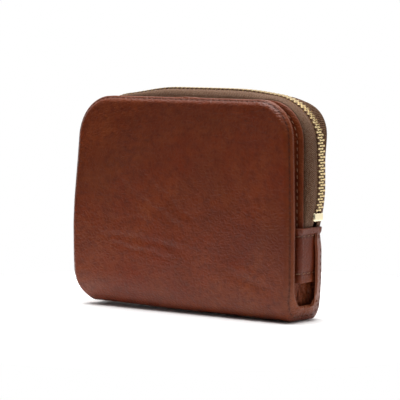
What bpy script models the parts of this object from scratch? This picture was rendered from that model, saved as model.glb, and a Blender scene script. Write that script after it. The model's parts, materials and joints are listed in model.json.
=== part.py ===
"""A small folding leather wallet with a zipped coin compartment, standing on its fold.

X runs along the fold, -Y is the front of the closed wallet and +Z is up.
The origin is on the flat strip under the fold, where the wallet stands.
"""
import math

import bmesh
import bpy
from mathutils import Matrix, Vector

MM = 0.001

# Overall sizes
LEAF_HALF_WIDTH = 55.0 * MM      # widest part of each leaf, low down
LEAF_TOP_HALF_WIDTH = 53.6 * MM  # leaves taper a little towards the top
LEAF_TOP = 87.5 * MM
LEAF_CORNER = 14.5 * MM
HALF_DEPTH = 12.2 * MM           # outer faces of the closed wallet

# The fold
FOLD_RISE = 13.0 * MM            # height of the round of the fold
FOLD_FLAT = 6.2 * MM             # half width of the flat strip it stands on
FOLD_AXIS_Y = -1.0 * MM          # the line that the front leaves turn about
FOOT_INSET = 9.0 * MM            # the leaves are this much narrower at the fold
FOOT_RISE = 19.0 * MM

# Sheet thicknesses and gaps
COVER_LEATHER = 1.3 * MM
PADDING = 0.7 * MM
LINING = 0.5 * MM
POCKET_LEATHER = 0.5 * MM
PANEL_LEATHER = 1.4 * MM
TAPE_THICKNESS = 0.5 * MM
GAP = 0.3 * MM

# Inner parts
INNER_INSET = 3.0 * MM           # linings and padding stop short of the stitched rim
POCKET_TOPS = (LEAF_TOP - 37.5 * MM, LEAF_TOP - 26.5 * MM, LEAF_TOP - 15.5 * MM)
POCKET_FOOT = 15.0 * MM
PANEL_HALF_WIDTH = LEAF_HALF_WIDTH - 1.5 * MM
PANEL_TOP = LEAF_TOP - 0.5 * MM
PANEL_CORNER = 16.0 * MM
PANEL_FOOT = 16.0 * MM
PANEL_FRONT_Y = -3.0 * MM        # front face of the coin panel
TAB_TOP = 37.0 * MM
TAB_LEATHER = 1.1 * MM
BAND_LEATHER = 0.7 * MM

# The zip
ZIP_CENTRE_Y = 5.0 * MM
ZIP_LIFT = 3.4 * MM              # chain's middle stands this far out from the panel's edge
CHAIN_HALF_WIDTH = 2.5 * MM
CHAIN_HALF_THICKNESS = 0.9 * MM
BEAD_WIDTH = 1.2 * MM
TOOTH_OVERLAP = 1.0 * MM         # how far a tooth passes the middle of the chain
TOOTH_PITCH = 2.3 * MM
TOOTH_WIDTH = 0.85 * MM
TAPE_END = 38.0 * MM
TEETH_END_RIGHT = 43.6 * MM
TEETH_END_LEFT = 47.6 * MM
STOP_HEIGHT = 2.9 * MM
STOP_WIDTH = 6.4 * MM
TOP_STOP_HEIGHT = 2.2 * MM

# Slider and puller
SLIDER_LENGTH = 10.0 * MM
SLIDER_WIDTH = 8.0 * MM
SLIDER_SIDE_ROOM = 0.1 * MM      # between the inner plate and the tape beside it
SLIDER_PLATE = 1.0 * MM
SLIDER_CLEARANCE = 0.35 * MM
BAIL_SPAN = 5.2 * MM
BAIL_CLEAR = 2.0 * MM
BAIL_STRAP = 0.8 * MM
BAIL_WIDTH = 1.6 * MM
PULLER_LENGTH = 25.0 * MM
PULLER_WIDTH = 6.6 * MM
PULLER_NECK_WIDTH = 5.6 * MM
PULLER_THICKNESS = 1.0 * MM
PULLER_WINDOW_WIDTH = 3.2 * MM
PULLER_WINDOW_LENGTH = 4.4 * MM

# Sewing thread
THREAD_RADIUS = 0.25 * MM
STITCH_MARGIN = 2.6 * MM

ARC_STEPS = 7
COLOURS = {
    "cover_leather": ((0.127, 0.027, 0.011, 1.0), 0.38, 0.0),
    "inner_leather": ((0.152, 0.042, 0.020, 1.0), 0.42, 0.0),
    "lining": ((0.090, 0.028, 0.014, 1.0), 0.80, 0.0),
    "padding": ((0.60, 0.55, 0.48, 1.0), 0.90, 0.0),
    "tape": ((0.190, 0.110, 0.060, 1.0), 0.85, 0.0),
    "brass": ((0.62, 0.47, 0.24, 1.0), 0.30, 1.0),
    "thread": ((0.130, 0.045, 0.022, 1.0), 0.70, 0.0),
}


def clear_scene():
    for item in list(bpy.data.objects):
        bpy.data.objects.remove(item, do_unlink=True)


def new_collection(name):
    collection = bpy.data.collections.new(name)
    bpy.context.scene.collection.children.link(collection)
    return collection


def new_material(name):
    colour, roughness, metallic = COLOURS[name]
    material = bpy.data.materials.new(name)
    material.use_nodes = True
    shader = material.node_tree.nodes["Principled BSDF"]
    shader.inputs["Base Color"].default_value = colour
    shader.inputs["Roughness"].default_value = roughness
    shader.inputs["Metallic"].default_value = metallic
    material.diffuse_color = colour
    return material


clear_scene()
WALLET = new_collection("folding_zip_wallet")
CUTTERS = new_collection("cutters")
MATERIALS = {name: new_material(name) for name in COLOURS}


# Shared building functions


def add_object(name, mesh, material=None, collection=None):
    item = bpy.data.objects.new(name, mesh)
    (collection or WALLET).objects.link(item)
    if material:
        mesh.materials.append(MATERIALS[material])
    return item


def plane_matrix(plane, middle):
    """Places a flat outline's (a, b) in the XZ or the YZ plane, at its middle along the third axis."""
    if plane == "XZ":
        return Matrix.Translation((0.0, middle, 0.0)) @ Matrix.Rotation(math.pi / 2, 4, "X")
    turn = Matrix(((0, 0, 1, 0), (1, 0, 0, 0), (0, 1, 0, 0), (0, 0, 0, 1)))
    return Matrix.Translation((middle, 0.0, 0.0)) @ turn


def prism(name, outlines, plane, low, high, material=None, collection=None):
    """A solid between two parallel planes, from an outline and the outlines of its holes."""
    curve = bpy.data.curves.new(name, "CURVE")
    curve.dimensions = "2D"
    curve.fill_mode = "BOTH"
    curve.extrude = (high - low) / 2
    for outline in outlines:
        spline = curve.splines.new("POLY")
        spline.points.add(len(outline) - 1)
        for point, (a, b) in zip(spline.points, outline):
            point.co = (a, b, 0.0, 1.0)
        spline.use_cyclic_u = True
    holder = bpy.data.objects.new(name, curve)
    WALLET.objects.link(holder)
    holder.matrix_world = plane_matrix(plane, (low + high) / 2)
    bpy.context.view_layer.update()
    solid_mesh = bpy.data.meshes.new_from_object(holder.evaluated_get(bpy.context.evaluated_depsgraph_get()))
    placing = holder.matrix_world.copy()
    bpy.data.objects.remove(holder, do_unlink=True)
    bpy.data.curves.remove(curve)
    welder = bmesh.new()
    welder.from_mesh(solid_mesh)
    bmesh.ops.remove_doubles(welder, verts=welder.verts, dist=1e-6)
    bmesh.ops.recalc_face_normals(welder, faces=welder.faces)
    welder.to_mesh(solid_mesh)
    welder.free()
    solid_mesh.materials.clear()
    solid_mesh.name = name
    item = add_object(name, solid_mesh, material, collection)
    item.matrix_world = placing
    return item


def block(name, low, high, material=None, bevel=0.0, collection=None):
    """A box between two opposite corners, with optional rounded edges."""
    low, high = Vector(low), Vector(high)
    shape = bmesh.new()
    bmesh.ops.create_cube(shape, size=1.0)
    bmesh.ops.scale(shape, vec=high - low, verts=shape.verts)
    mesh = bpy.data.meshes.new(name)
    shape.to_mesh(mesh)
    shape.free()
    item = add_object(name, mesh, material, collection)
    item.location = (low + high) / 2
    if bevel:
        rounding = item.modifiers.new("rounded_edges", "BEVEL")
        rounding.width = bevel
        rounding.segments = 2
    return item


def boolean(item, cutter, operation):
    """Cuts an object with a guide, which stays in the cutters' collection."""
    cut = item.modifiers.new(operation.lower(), "BOOLEAN")
    cut.object = cutter
    cut.operation = operation
    cut.solver = "EXACT"


def as_guide(item):
    item.hide_render = True
    item.display_type = "WIRE"
    return item


def arc(centre, radius, start_deg, end_deg, steps=ARC_STEPS):
    """Points on a circular arc in a plane, both ends included."""
    points = []
    for step in range(steps + 1):
        angle = math.radians(start_deg + (end_deg - start_deg) * step / steps)
        points.append((centre[0] + radius * math.cos(angle), centre[1] + radius * math.sin(angle)))
    return points


def mirrored(points):
    """Adds the mirror image of a right half outline."""
    return points + [(-a, b) for a, b in reversed(points)]


# Outlines


def leaf_outline(inset=0.0, top=None):
    """One leaf seen from the front: square sides, round top corners and a narrower, rounded foot."""
    half_top = LEAF_TOP_HALF_WIDTH - inset
    half_low = LEAF_HALF_WIDTH - inset
    top = LEAF_TOP - inset if top is None else top
    corner = LEAF_CORNER - inset
    right = []
    for step in range(ARC_STEPS + 1):
        angle = math.pi / 2 * step / ARC_STEPS
        right.append((half_low - FOOT_INSET * (1 - math.sin(angle)), FOOT_RISE * (1 - math.cos(angle))))
    right += arc((half_top - corner, top - corner), corner, 0, 90)
    return mirrored(right)


def flat_outline(half_width, foot, top, corner):
    """A plain panel with round top corners and square lower ones."""
    right = [(half_width, foot)] + arc((half_width - corner, top - corner), corner, 0, 90)
    return mirrored(right)


def fold_profile(side, inset):
    """The fold's cross-section on one side, from its middle round to the upright leaf."""
    across = HALF_DEPTH - FOLD_FLAT - inset
    rise = FOLD_RISE - inset
    points = [(FOLD_AXIS_Y + side * GAP / 2, inset)]
    for step in range(ARC_STEPS + 1):
        angle = math.pi / 2 * step / ARC_STEPS
        points.append((side * (FOLD_FLAT + across * math.sin(angle)), inset + rise * (1 - math.cos(angle))))
    return points


# Outer leather and what it is lined with


def leaf_cutter(name, inset):
    margin = HALF_DEPTH * 2
    return as_guide(prism(name, [leaf_outline(inset)], "XZ", -margin, margin, collection=CUTTERS))


def folded_sheet(name, side, inset, thickness, top, cutter, material):
    """An upright leaf and its half of the fold in one piece, trimmed to the leaf's outline."""
    outer = fold_profile(side, inset)
    inner = fold_profile(side, inset + thickness)
    outline = outer + [(outer[-1][0], top), (inner[-1][0], top)] + list(reversed(inner))
    sheet = prism(name, [outline], "YZ", -LEAF_HALF_WIDTH * 1.2, LEAF_HALF_WIDTH * 1.2, material)
    boolean(sheet, cutter, "INTERSECT")
    return sheet


def thread_loop(name, side, face_y, half_low, half_top, foot, top, corner):
    """One run of sewing thread along three edges of a leaf or panel, lying on its face."""
    path = [(half_low, foot)] + arc((half_top - corner, top - corner), corner, 0, 90)
    curve = bpy.data.curves.new(name, "CURVE")
    curve.dimensions = "3D"
    curve.bevel_depth = THREAD_RADIUS
    curve.bevel_resolution = 1
    curve.use_fill_caps = True
    spline = curve.splines.new("POLY")
    path = mirrored(path)
    spline.points.add(len(path) - 1)
    depth = face_y + side * (THREAD_RADIUS * 1.1)
    for point, (x, z) in zip(spline.points, path):
        point.co = (x, depth, z, 1.0)
    curve.materials.append(MATERIALS["thread"])
    item = bpy.data.objects.new(name, curve)
    WALLET.objects.link(item)
    return item


def padding_depth():
    return COVER_LEATHER + GAP


def lining_depth():
    return padding_depth() + PADDING + GAP


def build_covers():
    outer_cutter = leaf_cutter("leaf_trim", 0.0)
    inner_cutter = leaf_cutter("lining_trim", INNER_INSET)
    beyond = LEAF_TOP + FOLD_RISE
    for side, name in ((-1, "front"), (1, "back")):
        folded_sheet(f"{name}_cover", side, 0.0, COVER_LEATHER, beyond, outer_cutter, "cover_leather")
        folded_sheet(f"{name}_fold_lining", side, padding_depth(), LINING, FOLD_RISE, inner_cutter, "lining")
        pad_face = side * (HALF_DEPTH - padding_depth())
        pad = sorted((pad_face, pad_face - side * PADDING))
        outline = flat_outline(LEAF_TOP_HALF_WIDTH - INNER_INSET, FOLD_RISE + 2 * GAP,
                               LEAF_TOP - INNER_INSET, LEAF_CORNER - INNER_INSET)
        prism(f"{name}_padding", [outline], "XZ", pad[0], pad[1], "padding")
        face = side * (HALF_DEPTH - lining_depth())
        sheet = sorted((face, face - side * LINING))
        prism(f"{name}_lining", [outline], "XZ", sheet[0], sheet[1], "lining")
        thread_loop(f"{name}_cover_thread", side, side * HALF_DEPTH,
                    LEAF_HALF_WIDTH - STITCH_MARGIN, LEAF_TOP_HALF_WIDTH - STITCH_MARGIN,
                    FOOT_RISE, LEAF_TOP - STITCH_MARGIN, LEAF_CORNER - STITCH_MARGIN)


def build_card_pockets():
    """Three stepped slots on the inside of the front leaf, the lowest one nearest to hand."""
    face = -(HALF_DEPTH - lining_depth() - LINING - GAP)
    half_width = LEAF_TOP_HALF_WIDTH - INNER_INSET
    for index, top in enumerate(reversed(POCKET_TOPS)):
        low = face + index * (POCKET_LEATHER + GAP)
        outline = flat_outline(half_width, POCKET_FOOT, top, 2.0 * MM)
        prism(f"card_pocket_{index + 1}", [outline], "XZ", low, low + POCKET_LEATHER, "inner_leather")


# Coin compartment


def build_coin_panel():
    back_y = PANEL_FRONT_Y + PANEL_LEATHER
    outline = flat_outline(PANEL_HALF_WIDTH, PANEL_FOOT, PANEL_TOP, PANEL_CORNER)
    prism("coin_panel", [outline], "XZ", PANEL_FRONT_Y, back_y, "inner_leather")
    lining_y = back_y + GAP
    outline = flat_outline(PANEL_HALF_WIDTH - INNER_INSET, PANEL_FOOT, PANEL_TOP - INNER_INSET,
                           PANEL_CORNER - INNER_INSET)
    prism("coin_panel_lining", [outline], "XZ", lining_y, lining_y + LINING, "lining")
    band_y = PANEL_FRONT_Y - GAP
    band = [(PANEL_HALF_WIDTH, PANEL_FOOT), (PANEL_HALF_WIDTH, TAB_TOP),
            (-PANEL_HALF_WIDTH, TAB_TOP), (-PANEL_HALF_WIDTH, PANEL_FOOT)]
    prism("gusset_band", [band], "XZ", band_y - BAND_LEATHER, band_y, "inner_leather")
    thread_loop("coin_panel_thread", -1, PANEL_FRONT_Y, PANEL_HALF_WIDTH - STITCH_MARGIN,
                PANEL_HALF_WIDTH - STITCH_MARGIN, TAB_TOP + GAP, PANEL_TOP - STITCH_MARGIN,
                PANEL_CORNER - STITCH_MARGIN)


def back_wall_y():
    """Inner face of the compartment's rear wall."""
    return HALF_DEPTH - lining_depth() - LINING


def build_gussets():
    """Leather tabs that close the compartment below the zip's ends, and the sewn-in floor."""
    for side, name in ((1, "right"), (-1, "left")):
        inner = side * (PANEL_HALF_WIDTH + GAP)
        outer = inner + side * TAB_LEATHER
        low_x, high_x = sorted((inner, outer))
        block(f"gusset_tab_{name}", (low_x, PANEL_FRONT_Y - BAND_LEATHER, PANEL_FOOT),
              (high_x, back_wall_y() + PADDING, TAB_TOP), "inner_leather", bevel=0.3 * MM)
    floor_y = PANEL_FRONT_Y + PANEL_LEATHER + GAP + LINING + GAP
    half = LEAF_TOP_HALF_WIDTH - INNER_INSET
    block("coin_floor", (-half, floor_y, PANEL_FOOT), (half, back_wall_y() - GAP, PANEL_FOOT + LINING), "lining")


# Zip


def zip_lengths():
    """Straight side, corner and top run of the chain's middle line."""
    corner = math.pi / 2 * (PANEL_CORNER + ZIP_LIFT)
    top = 2 * (PANEL_HALF_WIDTH - PANEL_CORNER)
    return corner, top


def zip_point(height_or_run, lift):
    """A place on the zip's line: a run measured up from the bench on the right side, then round."""
    side = PANEL_TOP - PANEL_CORNER
    corner, top = zip_lengths()
    run = height_or_run
    if run <= side:
        return Vector((PANEL_HALF_WIDTH + lift, run)), Vector((1.0, 0.0))
    run -= side
    radius = PANEL_CORNER + lift
    if run <= corner:
        angle = math.pi / 2 * run / corner
        normal = Vector((math.cos(angle), math.sin(angle)))
        return Vector((PANEL_HALF_WIDTH - PANEL_CORNER, side)) + normal * radius, normal
    run -= corner
    if run <= top:
        return Vector((PANEL_HALF_WIDTH - PANEL_CORNER - run, PANEL_TOP + lift)), Vector((0.0, 1.0))
    run -= top
    if run <= corner:
        angle = math.pi / 2 * (1 + run / corner)
        normal = Vector((math.cos(angle), math.sin(angle)))
        return Vector((-(PANEL_HALF_WIDTH - PANEL_CORNER), side)) + normal * radius, normal
    run -= corner
    return Vector((-PANEL_HALF_WIDTH - lift, side - run)), Vector((-1.0, 0.0))


def zip_run_at_left(height):
    """The run that reaches a given height on the left side."""
    corner, top = zip_lengths()
    return 2 * corner + top + 2 * (PANEL_TOP - PANEL_CORNER) - height


def tape_runs():
    """Runs where a tape needs a cross-section: its ends, and steps round the corners."""
    corner, top = zip_lengths()
    side = PANEL_TOP - PANEL_CORNER
    runs = [TAPE_END]
    for start in (side, side + corner + top):
        runs += [start + corner * step / ARC_STEPS for step in range(ARC_STEPS + 1)]
    return runs + [zip_run_at_left(TAPE_END)]


def build_tape(name, section):
    """A woven tape that bows out from the panel's edge to the teeth; section is (lift, y) pairs."""
    shape = bmesh.new()
    previous = None
    for run in tape_runs():
        row = []
        for lift, y in section:
            place, _ = zip_point(run, lift)
            row.append(shape.verts.new((place.x, y, place.y)))
        if previous:
            for index in range(len(row) - 1):
                shape.faces.new((previous[index], previous[index + 1], row[index + 1], row[index]))
        previous = row
    bmesh.ops.recalc_face_normals(shape, faces=shape.faces)
    mesh = bpy.data.meshes.new(name)
    shape.to_mesh(mesh)
    shape.free()
    item = add_object(name, mesh, "tape")
    cloth = item.modifiers.new("cloth_thickness", "SOLIDIFY")
    cloth.thickness = TAPE_THICKNESS
    cloth.offset = 0.0
    cloth.use_even_offset = True
    return item


def tape_section(wall, end):
    """One tape across its width, as (lift, depth): from the wall it is sewn to up to the chain."""
    depth = end - wall
    return ((0.3 * MM, wall), (1.6 * MM, wall + 0.15 * depth),
            (2.6 * MM, wall + 0.5 * depth), (ZIP_LIFT - 0.2 * MM, end))


def front_tape_section():
    wall = PANEL_FRONT_Y + PANEL_LEATHER + TAPE_THICKNESS / 2 + 2 * GAP + LINING
    return tape_section(wall, ZIP_CENTRE_Y - CHAIN_HALF_WIDTH - GAP)


def back_tape_section():
    wall = back_wall_y() - TAPE_THICKNESS / 2 - GAP
    return tape_section(wall, ZIP_CENTRE_Y + CHAIN_HALF_WIDTH + GAP)


def build_tapes():
    build_tape("zip_tape_front", front_tape_section())
    build_tape("zip_tape_back", back_tape_section())


def tape_depth_at(section, lift):
    """How deep the tape lies at a lift from the panel's edge."""
    for (low, near), (high, far) in zip(section, section[1:]):
        if lift <= high:
            return near + (far - near) * (lift - low) / (high - low)
    return section[-1][1]


def build_teeth(name, side, shift):
    """One row of teeth along its cord. side is -1 in front; shift staggers the two rows."""
    cord_outer = ZIP_CENTRE_Y + side * CHAIN_HALF_WIDTH
    cord_inner = ZIP_CENTRE_Y + side * (CHAIN_HALF_WIDTH - BEAD_WIDTH)
    tip = ZIP_CENTRE_Y - side * TOOTH_OVERLAP
    lifts = (ZIP_LIFT - CHAIN_HALF_THICKNESS, ZIP_LIFT + CHAIN_HALF_THICKNESS)
    start = TEETH_END_RIGHT + shift
    count = int((zip_run_at_left(TEETH_END_LEFT) - start - TOOTH_WIDTH) / TOOTH_PITCH)
    shape = bmesh.new()

    def column(run, y):
        return [shape.verts.new((zip_point(run, lift)[0].x, y, zip_point(run, lift)[0].y)) for lift in lifts]

    def side_wall(first, second):
        shape.faces.new((first[0], first[1], second[1], second[0]))

    def floor_and_roof(corners):
        shape.faces.new([pair[0] for pair in corners])
        shape.faces.new([pair[1] for pair in reversed(corners)])

    last = None
    for index in range(count):
        run = start + index * TOOTH_PITCH
        near = (column(run, cord_outer), column(run, cord_inner), column(run, tip))
        far_run = run + TOOTH_WIDTH
        far = (column(far_run, cord_outer), column(far_run, cord_inner), column(far_run, tip))
        if last:
            floor_and_roof((last[0], near[0], near[1], last[1]))
            side_wall(last[0], near[0])
            side_wall(last[1], near[1])
            side_wall(near[1], near[2])
        else:
            side_wall(near[0], near[1])
            side_wall(near[1], near[2])
        floor_and_roof((near[0], far[0], far[1], near[1]))
        floor_and_roof((near[1], far[1], far[2], near[2]))
        side_wall(near[0], far[0])
        side_wall(near[2], far[2])
        side_wall(far[1], far[2])
        last = far
    side_wall(last[0], last[1])
    bmesh.ops.recalc_face_normals(shape, faces=shape.faces)
    mesh = bpy.data.meshes.new(name)
    shape.to_mesh(mesh)
    shape.free()
    add_object(name, mesh, "brass")


def build_stops():
    """The bottom stop joins both rows on the right; a top stop ends each row on the left."""
    lift = PANEL_HALF_WIDTH + ZIP_LIFT
    top = TEETH_END_RIGHT - GAP
    block("zip_bottom_stop", (lift + 0.15 * MM, ZIP_CENTRE_Y - STOP_WIDTH / 2, top - STOP_HEIGHT),
          (lift + CHAIN_HALF_THICKNESS + 0.5 * MM, ZIP_CENTRE_Y + STOP_WIDTH / 2, top), "brass", bevel=0.4 * MM)
    top = TEETH_END_LEFT - SLIDER_LENGTH / 2 - GAP
    for side, name in ((-1, "front"), (1, "back")):
        low_y, high_y = sorted((ZIP_CENTRE_Y + side * 1.2 * MM, ZIP_CENTRE_Y + side * CHAIN_HALF_WIDTH))
        block(f"zip_top_stop_{name}", (-lift - CHAIN_HALF_THICKNESS, low_y, top - TOP_STOP_HEIGHT),
              (-lift + CHAIN_HALF_THICKNESS, high_y, top), "brass", bevel=0.2 * MM)


# Slider and puller


def slider_middle():
    return TEETH_END_LEFT


def slider_faces():
    """X of the slider's two plates, each as (near the chain, away from it)."""
    chain = PANEL_HALF_WIDTH + ZIP_LIFT
    outer = chain + CHAIN_HALF_THICKNESS + SLIDER_CLEARANCE
    inner = chain - CHAIN_HALF_THICKNESS - SLIDER_CLEARANCE
    return (-outer, -outer - SLIDER_PLATE), (-inner, -inner + SLIDER_PLATE)


def slider_inner_width():
    """The inner plate fits between the two tapes, at the plate's own lift."""
    lift = ZIP_LIFT - CHAIN_HALF_THICKNESS - SLIDER_CLEARANCE
    in_front = ZIP_CENTRE_Y - tape_depth_at(front_tape_section(), lift)
    behind = tape_depth_at(back_tape_section(), lift) - ZIP_CENTRE_Y
    return 2 * (min(in_front, behind) - TAPE_THICKNESS / 2 - SLIDER_SIDE_ROOM)


def plate_outline(width, length, waist):
    """A slider plate: wide at the leading end below, narrower at the trailing end above."""
    z = slider_middle()
    half = width / 2
    right = [(half - 1.0 * MM, -length / 2), (half, -length / 2 + 1.2 * MM), (half, 0.5 * MM),
             (waist / 2, length / 2 - 1.2 * MM), (waist / 2 - 1.0 * MM, length / 2)]
    return [(ZIP_CENTRE_Y + a, z + b) for a, b in mirrored(right)]


def build_slider():
    (outer_near, outer_far), (inner_near, inner_far) = slider_faces()
    body = prism("slider_body", [plate_outline(SLIDER_WIDTH, SLIDER_LENGTH, SLIDER_WIDTH * 0.75)], "YZ",
                 outer_far, outer_near, "brass")
    inner = prism("slider_inner_plate",
                  [plate_outline(slider_inner_width(), SLIDER_LENGTH, slider_inner_width() * 0.75)],
                  "YZ", inner_near, inner_far, collection=CUTTERS)
    z = slider_middle()
    wedge = [(ZIP_CENTRE_Y - 0.9 * MM, z - 4.6 * MM), (ZIP_CENTRE_Y + 0.9 * MM, z - 4.6 * MM),
             (ZIP_CENTRE_Y + 0.7 * MM, z - 2.2 * MM), (ZIP_CENTRE_Y, z - 0.6 * MM),
             (ZIP_CENTRE_Y - 0.7 * MM, z - 2.2 * MM)]
    post = prism("slider_post", [wedge], "YZ", outer_far + SLIDER_PLATE / 2, inner_far - SLIDER_PLATE / 2,
                 collection=CUTTERS)
    boolean(body, as_guide(post), "UNION")
    boolean(body, as_guide(inner), "UNION")
    build_bail(outer_far)


def bail_middle():
    return slider_middle() + 0.4 * MM


def build_bail(face_x):
    """The arch on the slider's outer plate that holds the puller."""
    z = bail_middle()
    foot = face_x - GAP / 3
    half = BAIL_SPAN / 2
    rise = BAIL_CLEAR
    outline = [(foot, z - half), (foot - rise + 0.6 * MM, z - half), (foot - rise, z - half + 0.6 * MM),
               (foot - rise, z + half - 0.6 * MM), (foot - rise + 0.6 * MM, z + half), (foot, z + half)]
    grown = half + BAIL_STRAP
    top = rise + BAIL_STRAP
    outline += [(foot, z + grown), (foot - top + 1.0 * MM, z + grown), (foot - top, z + grown - 1.0 * MM),
                (foot - top, z - grown + 1.0 * MM), (foot - top + 1.0 * MM, z - grown), (foot, z - grown)]
    prism("slider_bail", [outline], "XZ", ZIP_CENTRE_Y - BAIL_WIDTH / 2, ZIP_CENTRE_Y + BAIL_WIDTH / 2, "brass")


def puller_axis():
    """The puller turns about a line along Y through its eye, under the bail."""
    (_, face), _ = slider_faces()
    return Vector((face - GAP / 3 - BAIL_CLEAR / 2, ZIP_CENTRE_Y, bail_middle() + 0.6 * MM))


def build_puller():
    axis = puller_axis()
    bar = PULLER_THICKNESS / 2
    neck = PULLER_NECK_WIDTH / 2
    window = PULLER_WINDOW_WIDTH / 2
    half = PULLER_WIDTH / 2
    low = -PULLER_LENGTH
    outer = [(neck - 0.8 * MM, bar), (neck, bar - 0.8 * MM), (neck, -PULLER_WINDOW_LENGTH - 1.5 * MM),
             (half, -PULLER_WINDOW_LENGTH - 4.0 * MM)]
    outer += arc((0.0, low + half), half, 0, -90, 5)
    outer = outer[:-1] + [(-a, b) for a, b in reversed(outer)]
    hole = [(window, -bar), (window, -bar - PULLER_WINDOW_LENGTH), (-window, -bar - PULLER_WINDOW_LENGTH),
            (-window, -bar)]
    placed = [[(axis.y + a, axis.z + b) for a, b in outline] for outline in (outer, hole)]
    puller = prism("puller", placed, "YZ", axis.x - PULLER_THICKNESS / 2, axis.x + PULLER_THICKNESS / 2, "brass")
    pivot = bpy.data.objects.new("puller_pivot", None)
    WALLET.objects.link(pivot)
    pivot.location = axis
    bpy.context.view_layer.update()
    placing = puller.matrix_world.copy()
    puller.parent = pivot
    puller.matrix_parent_inverse = pivot.matrix_world.inverted()
    puller.matrix_world = placing


def main():
    build_covers()
    build_card_pockets()
    build_coin_panel()
    build_gussets()
    build_tapes()
    build_teeth("zip_teeth_front", -1, 0.0)
    build_teeth("zip_teeth_back", 1, TOOTH_PITCH / 2)
    build_stops()
    build_slider()
    build_puller()
    bpy.context.view_layer.update()


main()
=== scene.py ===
"""Leather, zip and stitching for a small folding wallet with a zipped coin compartment."""
import json
import math

import bmesh
import bpy
import numpy as np
from mathutils import Matrix, Vector, noise


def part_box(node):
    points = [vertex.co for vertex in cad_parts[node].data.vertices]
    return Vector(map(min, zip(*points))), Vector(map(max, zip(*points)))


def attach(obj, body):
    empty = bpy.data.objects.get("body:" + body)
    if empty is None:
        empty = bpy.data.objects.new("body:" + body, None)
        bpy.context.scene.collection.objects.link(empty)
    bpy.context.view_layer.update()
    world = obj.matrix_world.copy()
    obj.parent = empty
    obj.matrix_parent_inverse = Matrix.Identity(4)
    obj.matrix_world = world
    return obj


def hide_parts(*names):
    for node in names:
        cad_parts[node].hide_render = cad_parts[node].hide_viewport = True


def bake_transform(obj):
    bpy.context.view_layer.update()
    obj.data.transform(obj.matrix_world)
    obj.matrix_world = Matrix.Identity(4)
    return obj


bl_info = {
    "name": "Folding Zip Wallet",
    "version": (1, 0, 0),
    "blender": (4, 5, 0),
    "location": "View3D > Sidebar > Wallet",
    "description": "Dresses a folding zip wallet in leather, woven tape, metal teeth and stitching",
    "category": "Add Mesh",
}

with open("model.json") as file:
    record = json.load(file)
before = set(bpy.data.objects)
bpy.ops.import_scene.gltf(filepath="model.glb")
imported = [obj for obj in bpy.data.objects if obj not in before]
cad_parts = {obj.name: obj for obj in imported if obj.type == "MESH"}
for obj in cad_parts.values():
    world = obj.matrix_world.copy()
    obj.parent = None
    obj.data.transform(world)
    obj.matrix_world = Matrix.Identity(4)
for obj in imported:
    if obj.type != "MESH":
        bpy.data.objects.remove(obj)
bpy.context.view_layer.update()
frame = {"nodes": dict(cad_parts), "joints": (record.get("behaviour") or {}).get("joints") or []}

MM = 0.001

# Places read from the frame
FRONT_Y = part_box("front_cover")[0].y
LEAF_HALF, _, LEAF_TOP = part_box("front_cover")[1]
BACK_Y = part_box("back_cover")[1].y
PANEL_LOW, PANEL_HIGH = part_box("coin_panel")
TAB_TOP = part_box("gusset_tab_right")[1].z
LINING_INSET, LINING_DEEP = (corner.y - FRONT_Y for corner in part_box("front_lining"))
TEETH_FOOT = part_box("zip_teeth_front")[0].z
SLIDER_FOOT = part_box("slider_body")[0].z
STOP_LOW, STOP_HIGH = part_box("zip_bottom_stop")
FOLD_AXIS = Vector(next(j["pos_m"] for j in frame["joints"] if j["name"] == "leaf_open"))
CHAIN_Y = (STOP_LOW.y + STOP_HIGH.y) / 2
CHAIN_X = sum(corner.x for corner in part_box("zip_top_stop_back")) / -2

# Half widths of the leaves' right and left sides at heights above the fold, in mm
RIGHT_SIDE = ((0.0, 53.4), (6.0, 53.9), (16.0, 54.5), (40.0, 54.6), (60.0, 54.3), (76.0, 53.8),
              (88.0, 53.4))
LEFT_SIDE = ((0.0, 52.2), (2.0, 53.3), (4.8, 54.9), (8.0, 55.9), (12.0, 56.5), (20.0, 56.9),
             (34.0, 57.0), (44.0, 56.4), (62.0, 54.4), (76.0, 53.0), (88.0, 52.4))

# Shape of the leaves
RIGHT_CORNER = 14.5 * MM
LEFT_CORNER = 16.5 * MM
FRONT_FOLD_RISE = 10.5 * MM
BACK_FOLD_RISE = 6.0 * MM
FRONT_FOLD_FLAT = 4.2 * MM
BACK_FOLD_FLAT = 7.4 * MM
BACK_WIDER = 1.1 * MM
BACK_TUCKED = 0.9 * MM
FOLD_HEART = 14 * MM
FACE_CROWN = 0.5 * MM
LEAF_SPACING = 0.85 * MM
EDGE_STEP = 0.22 * MM

# Heights between which the rim rises out of the fold, and what is special about the rim there
FRONT_RIM_RISE = (1.5 * MM, 16 * MM)
BACK_RIM_RISE = (31 * MM, 41 * MM)
RIM_CURVE = 1.35
BACK_RIM_DEEPER = 1.6 * MM
LEFT_RIM_SHALLOWER = 0.45
SEAM_DEEP, SEAM_WIDE = 0.20 * MM, 0.30 * MM
SEAM_FURTHER_IN = 0.75 * MM

# The front leaf's creases: start and end as (x, z), depth, width, in mm
CREASE_STRENGTH = 1.1
CREASE_STRAY = 1.6
CREASE_SHOULDER, SHOULDER_OFFSET = 0.5, 1.1
FRONT_CREASES = (
    ((-41, 32), (2, 27), 0.22, 1.5), ((-36, 27), (-2, 23), 0.18, 1.3),
    ((-44, 38), (-12, 36), 0.14, 1.2), ((-30, 53), (4, 33), 0.20, 1.7),
    ((-19, 57), (9, 37), 0.16, 1.4), ((6, 40), (27, 53), 0.12, 1.6),
    ((25, 19), (51, 11.5), 0.30, 1.9), ((-48, 70), (-26, 50), 0.14, 1.8))

# The soft ends of the fold
FOLD_END_X = 52.6 * MM
FOLD_END_LOW, FOLD_END_HIGH = 3.6 * MM, 16.1 * MM
FOLD_END_REACH = 10.6 * MM
FOLD_END_HOLLOW = 2.4 * MM
FOLD_END_THICK = 0.7 * MM

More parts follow.
